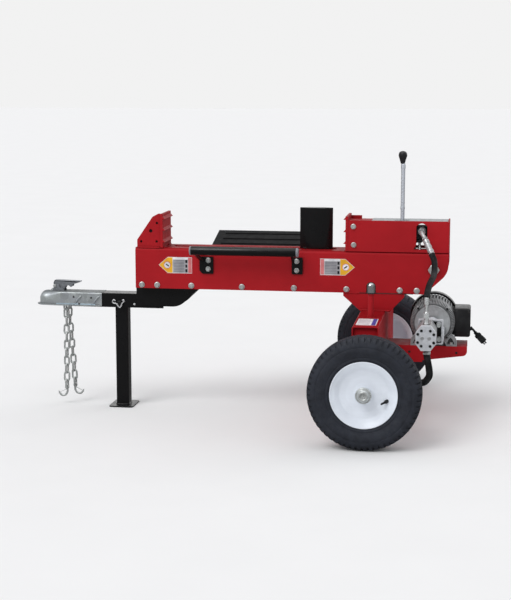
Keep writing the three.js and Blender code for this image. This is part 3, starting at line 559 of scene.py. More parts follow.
def make_wheel(side, end):
    """side is -1 for the near wheel, +1 for the far one; profiles run outwards along axis."""
    body = f"wheel_{end}"
    centre = (0, side * HALF_TRACK, AXLE_Z)
    axis = Y * side
    comb(tyre_profile(0), tyre_profile(1), 58, centre, axis, 0.62)
    for r, a in ((138, 52.1), (164, 56.0)):
        ring = [(r - 1.4, a - 1.2), (r, a - 0.2), (r + 1.4, a - 1.2)]
        turned(ring, centre, axis, 96, closed=True)
    piece(f"tyre_{end}_tread", tyre_rubber, body, stands_for=f"tyre_{end}", angle=40)

    dish = rounded([(13, 42), (25, 42, 2), (28, 29, 5), (40, 25, 8), (64, 23.5, 20), (88, 28, 16),
                    (101, 40, 10), (112, 46.2, 4), (117, 51, 2), (120, 50.4, 1.5), (119.6, 47.4, 1),
                    (112, 45.0, 3), (105, 42, 4), (99, 20, 6), (99, -18, 8), (105, -42, 4),
                    (112, -45.0, 3), (119.6, -47.4, 1), (120, -50.4, 1.5), (117, -51, 2), (110, -47, 4),
                    (100, -40, 6), (94, -18, 8), (92, 14, 8), (80, 20, 8), (34, 20, 6), (25, 16, 3),
                    (24, -30, 2), (13, -30)], 3, 3)
    turned(dish, centre, axis, 96, closed=True)
    piece(f"wheel_rim_{end}_dish", white_paint, body, stands_for=f"wheel_rim_{end}",
          angle=50)

    cap = [(0, 66, 0), (10, 66, 1), (12, 70, 2), (17, 70, 3), (21, 64, 3), (22, 58, 1), (28.5, 56, 1.5),
           (29, 42.6, 0.8), (13.2, 42.3, 0), (0, 42.3, 0)]
    domed(cap, 1, 4, centre, axis, 64)
    piece(f"hub_cap_{end}_dome", zinc, body, stands_for=f"hub_cap_{end}")

    # tyre valve, leaning out of the dish
    foot = Vector((81, side * (HALF_TRACK + 28), AXLE_Z - 22))
    lean = Vector((-0.6, side * 0.72, -0.2)).normalized()
    stem = [(0, -4, 0), (6.6, -3), (6, 8), (4.2, 11), (3.6, 13), (3.6, 28), (2.8, 30), (0, 30, 0)]
    domed(stem, 0.8, 2, foot, lean, 20)
    piece(f"tyre_valve_{end}", rubber, body)


make_wheel(-1, "near")
make_wheel(1, "far")


# ---- bolts, anchor bolt, welds
BEAM_SIDE = 75
BEAM_BOLTS = (-912, -851, -715, -516, -313, -111, 92, 156)
for x in BEAM_BOLTS:
    hex_bolt((x, -BEAM_SIDE, 499), -Y)
    hex_bolt((x, BEAM_SIDE, 499), Y, 15, 9)
for x, z in ((-87, 740), (-85, 670)):
    hex_bolt((x, -BEAM_SIDE, z), -Y, 15, 8, 10.3)
    hex_bolt((x, BEAM_SIDE, z), Y, 15, 9)
piece("frame_bolts", zinc)

# a dark strip where the beam meets its saddle: a painted shadow under the beam
for side in (-1, 1):
    box(-110, 142, *sorted((side * 74, side * 76.5)), 485.2, 487.6)
piece("saddle_shadow_line", dark)

# nuts behind the holes of the near gusset
for x, z, radius in ((-914, 668.5, 5), (-852.5, 669, 5), (-875.5, 710, 7), (-850.5, 741, 5)):
    hexagon((x, -61.7, z), Y, 3.4 * radius, 6)
piece("gusset_nuts", black_oxide, bevel=0.3)

# the cylinder's anchor bolt, with a washer, a nut and the thread's end on each side
ANCHOR_X, ANCHOR_Z = 219, 581
anchor = (ANCHOR_X, 0, ANCHOR_Z)
for side in (-1, 1):
    turned([(0, 75), (19, 75), (19, 77.4), (18, 78), (0, 78)], anchor, Y * side, 40)
    nut_foot = (ANCHOR_X, side * 77, ANCHOR_Z)
    hexagon(nut_foot, Y * side, 38, 13 if side < 0 else 16, turn=TURN / 12)
    domed([(0, 88), (11.5, 88, 0), (12, 92.5, 1.5), (0, 93, 0)], 1, 2, anchor, Y * side, 32)
drum(12, -80, 80, (ANCHOR_X, 0, ANCHOR_Z - 3), Y, 32)
piece("cylinder_anchor_nuts", zinc, bevel=0.4, stands_for="cylinder_anchor_bolt")


RIPPLE_LENGTH = 5.5


def weld(start, end, radius=3.2):
    """A row of overlapping weld ripples between two points."""
    start, end = Vector(start), Vector(end)
    steps = max(6, int((end - start).length / RIPPLE_LENGTH) * 4)
    path = [start.lerp(end, k / steps) for k in range(steps + 1)]
    lumps = []
    for k in range(steps + 1):
        ripple = 0.22 * abs(math.sin(math.pi * k / 4))
        lumps.append(1 + ripple + rng.uniform(-0.05, 0.05))
    tube(path, radius, 8, scale=lambda t: lumps[min(steps, round(t * steps))])


for side in (-1, 1):
    weld((-926, side * 71, 646), (-840, side * 71, 646))
    weld((-837, side * 61, 650), (-837, side * 61, 774 if side < 0 else 760), 2.6)
    weld((-117.6, side * 68, 646), (-117.6, side * 20, 646), 2.6)
    weld((-825.5, side * 66, 646), (-825.5, side * 24, 646), 2.6)
    weld((-58, side * 76, 420.5), (56, side * 76, 420.5), 3.6)
    weld((-121, side * 75, 486.2), (-60, side * 75, 486.2), 2.6)
    weld((268, side * 73, 648), (268, side * 73, 755), 2.2)
weld((40, -80, 290), (40, 52, 290), 3)
weld((40.5, -81, 230), (40.5, -81, 288), 2.6)
weld((-15.5, -232, 420.5), (-5, -221.5, 420.5), 2)
piece("frame_welds", red_paint, angle=60)


# ---- filler pipe and cap
FILLER_X, FILLER_Y = -5, -232
TANK_TOP = 419
pipe_foot = (FILLER_X, FILLER_Y, TANK_TOP)
turned([(10.5, 0), (13.6, 0.2), (13, 2.6), (11, 4.2)], pipe_foot, Z, 28, closed=True)
pipe = [(8, 1, 0), (11, 1, 0), (11, 86, 0), (12.6, 87, 0.6), (12.6, 90, 0.6), (8, 90, 0)]
turned(rounded(pipe, 0.5, 2), pipe_foot, Z, 36, closed=True)
piece("filler_pipe", red_paint, stands_for="filler_tube")

cap_centre = (FILLER_X, FILLER_Y, 0)
cap_low = [(0, 509.3), (17, 509.3), (18, 510.2), (18, 518), (17.8, 520)]
cap_top = [(17.8, 535), (17.2, 539), (15.4, 543.5), (12, 547.5), (7, 550.8), (0, 552)]
dipstick = [(0, 330), (2.6, 330), (3, 333), (3, 509.3), (0, 509.3)]
turned(cap_low + cap_top, cap_centre, Z, 48)
turned(dipstick, cap_centre, Z, 16)
piece("filler_cap_dome", cap_chrome, "filler_cap", stands_for="filler_cap")

FLUTES = 26
flute = [(17.2, 510.4), (18.8, 511), (18.8, 513), (17.4, 514)]
groove = [(17.2, 510.4), (18.2, 511), (18.2, 513), (17.4, 514)]
comb(flute, groove, FLUTES, cap_centre, Z, 0.5)
piece("filler_cap_grip", plastic, "filler_cap")


# ---- lever and knob
LEVER_X, PIVOT_Z = 92, 700
foot = [(0, PIVOT_Z, 0), (5.5, PIVOT_Z, 0), (5.5, 733, 1), (7.5, 737, 1)]
collar = [(7.5, 801, 1), (8.4, 803.5, 1), (8.4, 812, 1), (7.5, 815, 1)]
ferrule_top = [(7.5, 955, 1), (8.6, 957, 1), (8.6, 972, 1), (7, 974, 1), (7, 985, 0.5), (0, 985, 0)]
domed(foot + collar + ferrule_top, 1, 3, (LEVER_X + 2, 0, 0), Z, 32)
drum(10, -11, 11, (LEVER_X, 0, PIVOT_Z), Y, 32)
drum(4, -18, 18, (LEVER_X, 0, PIVOT_Z), Y, 20)
piece("lever_bar", bar_chrome, "lever", bevel=0.4, stands_for="lever_rod")

knob = [(0, 975.6, 0), (8, 975.6, 1), (9.2, 981, 3), (12.6, 993, 10), (16.9, 1006, 12), (14.8, 1017, 9),
        (8, 1022, 6), (0, 1023.4, 0)]
domed(knob, 3, 6, (LEVER_X, 0, 0), Z, 48)
piece("lever_grip", plastic, "lever", stands_for="lever_knob", angle=60)


# ---- hoses and fittings
PUMP_PORT_X, PUMP_PORT_Y = 205.5, -385
RETURN_X, RETURN_Y = 24, -55  # where the return hose meets the tank


def ferrule(start, end, radius, ridges):
    """A crimped sleeve over a hose end."""
    start, end = Vector(start), Vector(end)
    length = (end - start).length
    profile = [(0, 0), (radius - 1, 0), (radius, 1)]
    for k in range(ridges):
        a = 2 + (length - 4) * k / ridges
        step = (length - 4) / ridges
        profile += [(radius, a + 0.1 * step), (radius, a + 0.55 * step), (radius - 1.1, a + 0.68 * step),
                    (radius - 1.1, a + 0.92 * step)]
    profile += [(radius, length - 1), (radius - 1, length), (0, length)]
    turned(profile, start, end - start, 28)


PORT_X, PORT_Z = 171, 724
elbow = [(PORT_X, -50, PORT_Z), (PORT_X, -84, PORT_Z), (173, -99, 721), (182, -116, 708),
         (200, -140, 682)]
tube(smooth_path(elbow, 8), 7.6, 20)
hexagon((PORT_X, -52.3, PORT_Z), -Y, 27, 12, turn=0.1)
turned([(0, 0), (16, 0), (16, 3), (15, 4), (0, 4)], (PORT_X, -52.3, PORT_Z + 1), -Y, 32)
hexagon((PORT_X, -66, PORT_Z), -Y, 24, 9, turn=0.35)
ferrule((189, -125.5, 697), (213.5, -160, 650.5), 11.9, 3)
hexagon((184, -119, 704.5), (0.42, -0.56, -0.68), 20, 5)
piece("valve_elbow", steel, bevel=0.3, stands_for="valve_port_fitting")

pressure = smooth_path([(206, -149, 664), (214, -160, 648), (224, -178, 622), (225, -235, 585),
                        (213, -310, 560), (207, -365, 538), (206, PUMP_PORT_Y, 521)], 12)
tube(pressure, 11.5, 20)
piece("pressure_line", rubber, stands_for="pressure_hose", angle=50)

PUMP_TOP = 425.2
stack = [(0, 0, 0), (12, 0), (12, 5), (9, 7), (8.6, 20), (8.6, 42), (5.8, 46), (5.8, 60), (8, 68),
         (9.6, 72), (9.6, 97), (8.6, 98), (0, 98, 0)]
domed(stack, 0.8, 2, (PUMP_PORT_X, PUMP_PORT_Y, PUMP_TOP), Z, 36)
hexagon((PUMP_PORT_X, PUMP_PORT_Y, 447), Z, 20, 20)
for z in (502, 508, 514):
    band = [(9.4, z - 1.4), (10.3, z - 1), (10.3, z + 1), (9.4, z + 1.4)]
    turned(band, (PUMP_PORT_X, PUMP_PORT_Y, 0), Z, 32, closed=True)
piece("pump_outlet_stack", fitting, bevel=0.3, stands_for="pump_outlet_fitting")

suction = [(209, 334.8), (209, 318), (214, 288), (219, 260), (219, 236), (202, 214), (176, 213),
           (140, 222), (90, 228), (60, 228), (41, 228)]
suction_path = smooth_path([(x, PUMP_PORT_Y, z) for x, z in suction], 10)
tube(suction_path, 12.5, 24)
piece("suction_line", rubber, stands_for="suction_hose", angle=50)


def hose_clamp(centre, axis, radius, screw_side):
    """A worm-drive band with its screw housing."""
    band = [(radius, -5), (radius + 0.9, -5), (radius + 1.3, -4.2), (radius + 1.3, 4.2),
            (radius + 0.9, 5), (radius, 5)]
    turned(band, centre, axis, 40, closed=True)
    out = Vector(screw_side).normalized()
    across = Vector(axis).normalized().cross(out)
    middle = Vector(centre) + out * (radius + 4)
    domed([(0, -9, 0), (3.6, -9), (3.6, 5), (2.6, 7), (0, 7, 0)], 0.5, 2, middle, across, 20)
    hexagon(middle + across * 6.5, across, 7, 4)


hose_clamp((209, PUMP_PORT_Y, 322), Z, 12.6, (-0.2, -1, 0))
hose_clamp((56, PUMP_PORT_Y, 228), X, 12.6, (0, -1, 0.4))
hose_clamp((RETURN_X, RETURN_Y, 436), Z, 8.8, (0, -1, 0))
turned([(0, 0), (16, 0), (16, 6), (14, 8), (0, 8)], (39.2, PUMP_PORT_Y, 228), X, 28)
drum(12, 0, 6, (RETURN_X, RETURN_Y, 419.2), Z, 24)
piece("hose_clamps", zinc, angle=30)

back = [(163, 644), (161, 630), (145, 598), (80, 565), (32, 535), (RETURN_X, 505), (RETURN_X, 420.6)]
tube(smooth_path([(x, RETURN_Y, z) for x, z in back], 10), 8.5, 20)
piece("return_line", rubber, stands_for="return_hose", angle=50)

# the return line's elbow and its boss under the valve
sleeve = smooth_path([(161, -29, 684), (162, -34, 678), (163, -52, 656), (163, RETURN_Y, 641)], 10)
tube(sleeve, 5.2, 20)
hexagon((163, RETURN_Y, 645.2), Z, 15, 6)
piece("return_elbow", wire, bevel=0.3)

turned([(0, 0), (15, 0), (15, 6), (9, 12), (0, 12)], (161, -29, 690.6), -Z, 28)
piece("valve_return_boss", iron)


# ---- motor
MOTOR_X, SHAFT_Z = 218, 380
MOTOR = Vector((MOTOR_X, 0, SHAFT_Z))
FINS = 84
shell_fin = [(47, -39.6), (83.2, -39.6), (84, -38), (84, 8), (84, 80), (84, 86), (83, 87.6), (47, 87.6)]
shell_gap = [(47, -39.6), (81, -39.6), (81.6, -38), (81.6, 4), (73, 10), (73, 78), (82, 86), (47, 87.6)]
comb(shell_fin, shell_gap, FINS // 2, MOTOR, Y, 0.42)
box(136, 300, -74, 43, 291.4, 295)
piece("motor_shell", motor_grey, bevel=0.4, stands_for="motor_housing", angle=28)

for side in (-1, 1):
    for y in (-62, 30):
        hex_bolt((MOTOR_X + side * 74, y, 295), Z, 11, 7, 9)
piece("motor_foot_bolts", zinc)

# front bell: a flat face, a groove and a finned shoulder, with two feet and four bolt bosses
face_part = [(8.4, -87), (22, -87), (24, -86), (60, -86), (63, -86.6), (64.5, -88), (66.6, -88),
             (67.2, -87), (67.6, -82), (70, -82)]
bell_back = [(84, -40.4), (76, -40.4), (70, -66), (8.4, -72)]
bell_tooth = face_part + [(71.4, -84), (75, -83), (80, -78), (83, -70), (84, -62)] + bell_back
bell_notch = face_part + [(70.6, -76), (72, -72), (75, -64), (78, -58), (80, -52)] + bell_back
comb(bell_tooth, bell_notch, FINS, MOTOR, Y, 0.5)
foot = [(263, 314), (267, 319), (288, 336), (294, 335), (306, 320), (309, 310), (309, 291.4),
        (274, 291.4)]
# outline of the dark patch in each foot: painted shade for the foot's hollow
recess_shade = [(274, 300), (279, 314), (287, 325), (294, 317), (303, 299)]
FEET_X = 223.8  # midway between the two feet


def foot_outline(points, side, radius, steps):
    """A foot's outline in X-Z with its corners rounded: side is 1 as given, -1 turned over."""
    return rounded([(FEET_X + side * (x - FEET_X), z) for x, z in points], radius, steps)


for side in (-1, 1):
    side_plate(foot_outline(foot, side, 4, 4), -80, -60)
    rim = [(FEET_X + side * (x - FEET_X), -80.5, z) for x, z in rounded(foot, 4, 4)]
    tube(rim, 2.2, 8, loop=True)
    box(*sorted(FEET_X + side * (x - FEET_X) for x in (270, 311)), -82.6, -60, 291.4, 297)
for out in around(4, 0.5):
    domed([(0, -86, 0), (6, -86), (7, -60), (0, -60, 0)], 1.5, 3, MOTOR + out * 77, Y, 24)
piece("motor_bell", cast_grey, stands_for="motor_front_bell", angle=28)

# the bright disc on the face, with its rim
disc = [(22, -86.6), (24, -87), (60, -87), (63, -87.8), (64.5, -89), (66.2, -89), (66.8, -88),
        (66.8, -86)]
turned(disc, MOTOR, Y, 96)
piece("motor_bell_disc", bell_metal, angle=28)

# dark patches on the feet, painted shade for their hollows, and the four bell bolts
for side in (-1, 1):
    side_plate(foot_outline(recess_shade, side, 2, 3), -80.4, -78)
for out in around(4, 0.5):
    hexagon(MOTOR + out * 77 - Y * 86, -Y, 8, 3)
piece("motor_bolts_and_foot_shade", black_oxide, bevel=0.3)

for x in (156, 290.5):
    hexagon((x, -76.5, 297), Z, 11.5, 9)
    drum(8, 0, 1.6, (x, -76.5, 296.6), Z, 24)
piece("motor_front_bolts", zinc, bevel=0.3)

cover = rounded([(87.5, 88.4, 0), (91.3, 88.4, 0.8), (91.3, 126, 2), (84, 140, 8), (76, 142, 3),
                 (76, 138, 0), (82, 136, 4), (87.5, 124, 2)], 1, 3)
turned(cover, MOTOR, Y, 96, closed=True)
for r in range(20, 80, 8):
    grille = [(r, 138), (r + 2.4, 138), (r + 2.4, 141.4), (r, 141.4)]
    turned(grille, MOTOR, Y, 72, closed=True)
for out in around(12):
    sweep([MOTOR + out * r + Y * 139.4 for r in (12, 45, 79)], bar(1.8, 1.8))
turned([(0, 137), (19, 137), (19, 141.6), (17, 142), (0, 142)], MOTOR, Y, 40)
for out in around(4, 0.5):
    drum(2.6, 88.5, 93, MOTOR + out + Y * 14, out, 12)
piece("motor_fan_shroud", black_paint, bevel=0.3, stands_for="motor_fan_cover")


# capacitor box: lid and body with a seam between them
def box_ring(y, inset):
    x0, x1, z0, z1 = 300 + inset, 360 - inset, 320 + inset, 429 - inset
    return [(x, y, z) for x, z in rounded([(x0, z0, 3), (x1, z0, 10), (x1, z1, 10), (x0, z1, 3)], 3, 6)]


case = ((-38, 2.6), (-37, 1), (-35, 0), (-12, 0), (-11.6, 0.9), (-10.4, 0.9), (-10, 0), (76, 0),
        (82, 1.2), (84, 4))
loft([box_ring(y, inset) for y, inset in case])
piece("capacitor_case", plastic, stands_for="capacitor_box", angle=50)

for x, z in ((308, 330), (351, 330), (351, 419), (308, 419)):
    domed([(0, 0, 0), (4, 0), (4, 1.4), (2.6, 2.2), (0, 2.2, 0)], 0.5, 2, (x, -37.8, z), -Y, 20)
piece("capacitor_screws", black_oxide)

# a dark block in the gap between the motor and the capacitor box: painted shade between the parts
box(290, 303, -34, 78, 326, 420)
piece("capacitor_gap_shade", dark, bevel=1.5)

# dark discs in the tray's two holes: painted shade inside the holes
for x in (133, 310):
    turned([(0, -83.4), (4.4, -83.4), (4.8, -83), (2.9, -82.8), (2.9, -78), (0, -78)], (x, 0, 266), Y, 20)
piece("tray_hole_shade", dark)

# cord and plug
domed([(0, 0, 0), (9, 0), (8.5, 3), (6.4, 9), (0, 9, 0)], 1, 2, (358.5, 10, 347), (1, -0.1, -0.5), 24)
tube(smooth_path([(361, 10, 346.5), (368, 9, 344), (375, 4, 337), (382, -2, 329)], 8), 4.4, 16)
plug_axis = Vector((42, -12, -40)).normalized()
plug_start = Vector((377, -1, 334))
plug = [(0, 0, 0), (5.6, 0), (6.2, 9), (12.2, 13), (13, 22), (11.4, 26), (12.4, 30), (13, 46), (12, 52),
        (0, 52.5, 0)]
domed(plug, 2, 4, plug_start, plug_axis, 28)
for k in range(3):
    ring = [(6.0, 1 + 3 * k), (7.2, 1.6 + 3 * k), (7.2, 2.6 + 3 * k), (6.0, 3.2 + 3 * k)]
    turned(ring, plug_start, plug_axis, 24, closed=True)
piece("mains_cord", rubber, stands_for="power_cord", angle=45)

plug_u, plug_v, _ = axes_of(plug_axis)
plug_face = plug_start + plug_axis * 52
for a, b in ((-4.5, 2.5), (4.5, 2.5), (0, -5)):
    base = plug_face + plug_u * a + plug_v * b
    sweep([base, base + plug_axis * 9], bar(0.8, 2.6))
piece("plug_prongs", chrome, bevel=0.3)


# ---- pump
PUMP_X = 206


def octagon(half_x, half_z, cut_x, cut_z):
    """The pump's outline: a rectangle with its four corners cut off."""
    points = []
    for sx, sz, side_first in ((1, -1, False), (1, 1, True), (-1, 1, False), (-1, -1, True)):
        on_end = (PUMP_X + sx * (half_x - cut_x), SHAFT_Z + sz * half_z)
        on_side = (PUMP_X + sx * half_x, SHAFT_Z + sz * (half_z - cut_z))
        points += [on_side, on_end] if side_first else [on_end, on_side]
    return rounded(points, 4)


plates = ((-405.7, -396, 36, 45), (-396, -392, 33, 42), (-392, -352, 35, 44), (-352, -348, 33, 42),
          (-348, -312, 35, 44), (-312, -309, 32, 41), (-309, -283, 35.5, 44.5))
for y0, y1, half_x, half_z in plates:
    side_plate(octagon(half_x, half_z, 19, 25), y0, y1)
for side in (-1, 1):
    rib_x = PUMP_X + side * 34.5
    box(rib_x - 2, rib_x + 2, -390, -354, SHAFT_Z - 4, SHAFT_Z + 4)
piece("pump_gear_case", cast_grey, bevel=0.8, stands_for="pump_body")

side_plate(octagon(37, 46, 20, 26), -421, -406)
piece("pump_end_cover", aluminium, bevel=1.6, stands_for="pump_cover")

# eight socket screws, two near each corner
socket_head = [(0, 0.4, 0), (2.2, 0.4, 0), (2.4, 2.6, 0.3), (4.4, 2.6), (4.8, 2.0), (4.8, -0.4),
               (0, -0.4, 0)]
for out_x, out_z in ((15.8, 27.6), (28.4, 14.8)):
    for sx in (-1, 1):
        for sz in (-1, 1):
            spot = (PUMP_X + sx * out_x, -420.8, SHAFT_Z + sz * out_z)
            domed(socket_head, 0.3, 2, spot, -Y, 20)
piece("pump_cover_bolts", black_oxide)

for dx in (-12.5, 12):
    ring_plug = [(0, 0.05), (4.6, 0.1), (5.2, 0.5), (5.9, 0.5), (6.4, 0.05), (6.2, -0.5), (0, -0.5)]
    turned(ring_plug, (PUMP_X + dx, -421.1, SHAFT_Z), -Y, 28)
piece("pump_bore_plugs", steel)

# bracket between motor and pump: open cast frame with a flange at each end
HALF = 46
THICK = 6.5
bottom = SHAFT_Z - HALF


def square(half, radius):
    """A rounded square round the shaft line."""
    return oblong(MOTOR_X - half, MOTOR_X + half, SHAFT_Z - half, SHAFT_Z + half, radius)


outer, inner = square(HALF, 6), square(HALF - THICK, 4)
flange = ((outer, -282.6), (outer, -268), (inner, -268), (inner, -282.6))
loft([[(x, y, z) for x, z in outline] for outline, y in flange], wrap=True)
side_plate(oblong(MOTOR_X - HALF, MOTOR_X + HALF, bottom, SHAFT_Z - 12, 6), -101, -88.4)
turned([(0, -118), (20, -118), (22, -114), (24, -88.4), (0, -88.4)], MOTOR, Y, 40)
box(MOTOR_X - HALF + 1, MOTOR_X + HALF - 1, -270, -100, bottom, bottom + THICK)
for side in (-1, 1):
    wall = sorted((MOTOR_X + side * HALF, MOTOR_X + side * (HALF - THICK)))
    box(*wall, -270, -100, bottom, SHAFT_Z - 20)
    for sign in (-1, 1):
        drum(9.5, -282, -266, (MOTOR_X + side * 30, 0, SHAFT_Z + 0.5 + sign * 28), Y, 24)
piece("pump_carrier", aluminium, bevel=1.0, stands_for="pump_bracket")

# a dark sheet across the carrier's window and a dark hub on the shaft behind it: painted shade inside the
# carrier
box(MOTOR_X - 38, MOTOR_X + 38, -264, -261, SHAFT_Z - 38, SHAFT_Z + 38)
domed([(0, -240), (22, -240), (22, -190), (17, -186), (0, -186)], 2, 3, MOTOR, Y, 36)
piece("carrier_inside_shade", dark, bevel=0.5)

for x, z in ((247, 405), (247, 354), (189, 405), (189, 354)):
    hexagon((x, -282.8, z), -Y, 13, 8)
    drum(8.5, 0, 1.6, (x, -282, z), -Y, 24)
piece("carrier_bolts", zinc, bevel=0.3)


# ---- tow coupler
BALL_X, BALL_Z, BALL_R = -1317, 427, 31.5
COUPLER_W, COUPLER_TOP = 39, 457.6
WALL = 3.5
CHAIN_X, CHAIN_Z, CHAIN_BAR_R = -1237, 410, 5


def coupler_ring(x, inset):
    """The upside-down U of the coupler at x, as one half loop from the near foot to the far foot."""
    dx = x - BALL_X
    share = min(1.0, max(0.0, dx / 66))
    ease = share * share * (3 - 2 * share)
    if dx <= 0:
        w = math.sqrt(max(0.0, (BALL_R - inset) ** 2 - dx * dx))
        top, corner = BALL_Z + w, w
    else:
        w = (BALL_R + (COUPLER_W - BALL_R) * ease) - inset
        dome_top = BALL_Z + BALL_R
        top = dome_top + (COUPLER_TOP - dome_top) * ease - inset
        corner = (BALL_R - inset) * (1 - ease) + 6.5 * ease
    w = max(w, 0.2)
    corner = max(min(corner, w), 0.2)
    points = [(-w, 403.2)]
    for k in range(9):
        angle = math.pi / 2 * k / 8
        points.append((-w + corner * (1 - math.cos(angle)), top - corner * (1 - math.sin(angle))))
    points += [(-y, z) for y, z in reversed(points)]
    return [(x, y, z) for y, z in points]


stations = [BALL_X - BALL_R * math.cos(math.pi / 2 * k / 10) for k in range(11)]
stations += [-1309, -1300, -1290, -1280, -1268, -1254, -1230, -1200, -1150, -1120, -1085]
rings = []
for x in stations:
    inner_x = x if x > BALL_X else BALL_X + (x - BALL_X) * 0.89
    rings.append(coupler_ring(x, 0) + coupler_ring(inner_x, WALL)[::-1])
loft(rings)

# the lip round the foot of the shell, from the near side round the nose to the far side
angles = [math.pi * k / 12 for k in range(1, 12)]
nose = [(BALL_X - BALL_R * math.sin(angle), -BALL_R * math.cos(angle)) for angle in angles]
flank = [(-1090, 38), (-1240, 39), (-1268, 37), (-1298, 33)]
lip = [Vector((x, y, 0)) for x, y in [(x, -y) for x, y in flank] + nose + flank[::-1]]
rings = []
for i, here in enumerate(lip):
    ahead, behind = lip[min(i + 1, len(lip) - 1)], lip[max(i - 1, 0)]
    out = (ahead - behind).normalized().cross(Z)
    wide = 10.5 if here.x < -1200 else 5
    out = out if out.dot(here - Vector((-1250, 0, 0))) > 0 else -out
    edge = ((-1.5, 403), (wide - 1, 403), (wide, 404), (wide, 406.2), (wide - 1, 407), (-1.5, 407))
    rings.append([(*(here + out * a).xy, z) for a, z in edge])
loft(rings)
for side in (-1, 1):
    # pressed stiffening ribs on the flanks, each a slanting ridge
    for x in (-1186, -1112):
        y = side * 39
        ridge = [(x + 18, y, 444), (x + 12, y, 438), (x - 2, y, 422), (x - 6, y, 412)]
        tube(smooth_path(ridge, 5), 4.6, 10, scale=lambda t: 1 - 0.6 * abs(2 * t - 1) ** 3)
drum(CHAIN_BAR_R, -37, 37, (CHAIN_X, 0, CHAIN_Z), Y, 20)
domed([(0, 0, 0), (8.5, 0), (7, 9), (3, 13), (0, 14, 0)], 3, 3, (-1296, 0, 453), Z, 24)
piece("coupler_shell", blue_zinc, bevel=0.7, stands_for="coupler", angle=40)

for side in (-1, 1):
    for x, z in ((-1200, 438), (-1178, 411), (-1128, 436)):
        domed([(0, 0, 0), (4.2, 0), (3.4, 1.6), (0, 2.2, 0)], 0.6, 2, (x, side * 38.7, z), Y * side, 20)
piece("coupler_dimples", iron)

# a pale strip along the foot of each flank: a painted highlight where the lip catches the light
for side in (-1, 1):
    box(-1272, -1112, *sorted((side * 38.4, side * 39.9)), 406, 412)
piece("coupler_band_highlight", pale_band_highlight, bevel=0.4)

ear = [(-1301, 443), (-1247, 448), (-1244, 464), (-1262, 471), (-1266, 484), (-1286, 484), (-1288, 471)]
for side in (-1, 1):
    side_plate(rounded(ear, 3, 4), *sorted((side * 15.2, side * 19)))
piece("coupler_ears", latch_steel, bevel=0.5)

for side in (-1, 1):
    domed([(0, 0, 0), (7, 0), (6, 3), (0, 4, 0)], 1, 2, (-1283, side * 19, 478), Y * side, 24)
piece("coupler_bolts", zinc, bevel=0.3)

# latch: two cheeks under a folded top plate with a finger lip
cheek = [(-1288, 470), (-1285, 465, 3), (-1246, 464, 2), (-1243, 470, 2), (-1238, 478, 3),
         (-1226, 480, 3), (-1219, 473, 2), (-1212, 476, 3), (-1211, 485, 2), (-1198, 488, 4),
         (-1180, 494, 1), (-1180, 496, 1), (-1284, 499, 2)]
for side in (-1, 1):
    side_plate(rounded(cheek, 2, 4), *sorted((side * 14, side * 10.5)))
top_plate = [(-1286, 497), (-1200, 492.6), (-1180, 493.4, 1), (-1179, 496, 1), (-1183, 497.6, 1),
             (-1284, 500.4, 0.5), (-1289, 490, 2), (-1289, 478, 1), (-1286, 478, 1)]
side_plate(rounded(top_plate, 1, 3), -14, 14)
drum(4, -18.6, 18.6, (-1283, 0, 478), Y, 20)
piece("latch_lever", latch_steel, "latch", bevel=0.5, stands_for="coupler_latch")


# ---- safety chains
WIRE = 3.5
BEND, STRAIGHT = 9.5, 9.3
PITCH = 2 * (STRAIGHT + BEND - WIRE + 0.7)
LINKS = 11
GAP = 0.3
FIRST_Z = CHAIN_Z + CHAIN_BAR_R + GAP + WIRE - BEND - STRAIGHT


def link_path(centre, across, lean):
    """The loop of one link: two half circles joined by straights."""
    points = []
    for k in range(16):
        angle = TURN * (k + 0.5) / 16
        up = math.sin(angle) * BEND + (STRAIGHT if math.sin(angle) > 0 else -STRAIGHT)
        points.append(centre + across * (math.cos(angle) * BEND) + (Z + lean).normalized() * up)
    return points


def make_chain(end, y, lean_x, lean_y):
    """A chain of turned links, each a little out of line, that drifts by the lean from top to bottom."""
    for i in range(LINKS):
        share = i / (LINKS - 1)
        centre = Vector((CHAIN_X + lean_x * share, y + lean_y * share, FIRST_Z - i * PITCH))
        turn = math.pi / 2 * (i % 2 == 0) + rng.uniform(-0.22, 0.22) * (i > 0)
        across = Vector((math.sin(turn + math.pi / 2), math.cos(turn + math.pi / 2), 0)) if i else X
        tilt = X * rng.uniform(-0.05, 0.05)
        tube(link_path(centre, across, tilt), WIRE + 0.3, 10, loop=True)
    # the hook under the last link, with its eye and spring latch, opening to the side of the lean
    side = math.copysign(1, lean_x)
    x, z = CHAIN_X + lean_x, FIRST_Z - (LINKS - 1) * PITCH - STRAIGHT - BEND + 2

    def hook_point(out, up):
        return Vector((x + side * out, y + lean_y, z + up))
    hook = [(0, 9), (-1, -2), (-1, -14), (6, -26), (20, -30), (31, -21), (35, -12)]
    path = smooth_path([hook_point(*point) for point in hook], 8)
    tube(path, 4.2, 12, scale=lambda t: 1 - 0.55 * max(0, t - 0.75) * 4)
    eye = Vector((x, y + lean_y, z + 5))
    tube([eye + out * 6.4 for out in around(16)], 2.6, 10, loop=True)
    latch = [hook_point(*point) for point in ((1.5, -3), (14, -10), (30, -17))]
    sweep(latch, bar(3, 0.7))
    piece(f"chain_{end}_links", zinc, f"chain_{end}", stands_for=f"chain_{end}", angle=50)


make_chain("near", -15, -2, -8)
make_chain("far", 15, 19, 8)


# ---- prop leg and hitch pin
LEG_X, LEG_Z = -1009, 422
FOOT_X, FOOT_Y, FOOT_TOP = 49, 60, 5
LEG_HALF, LEG_TOP, LEG_FLOOR = 25.4, 434, 30


def leg_ring(half, radius, z):
    """The leg tube's square outline at a height."""
    outline = oblong(-half, half, -half, half, radius, 5)
    return [(LEG_X + x, y, z) for x, y in outline]


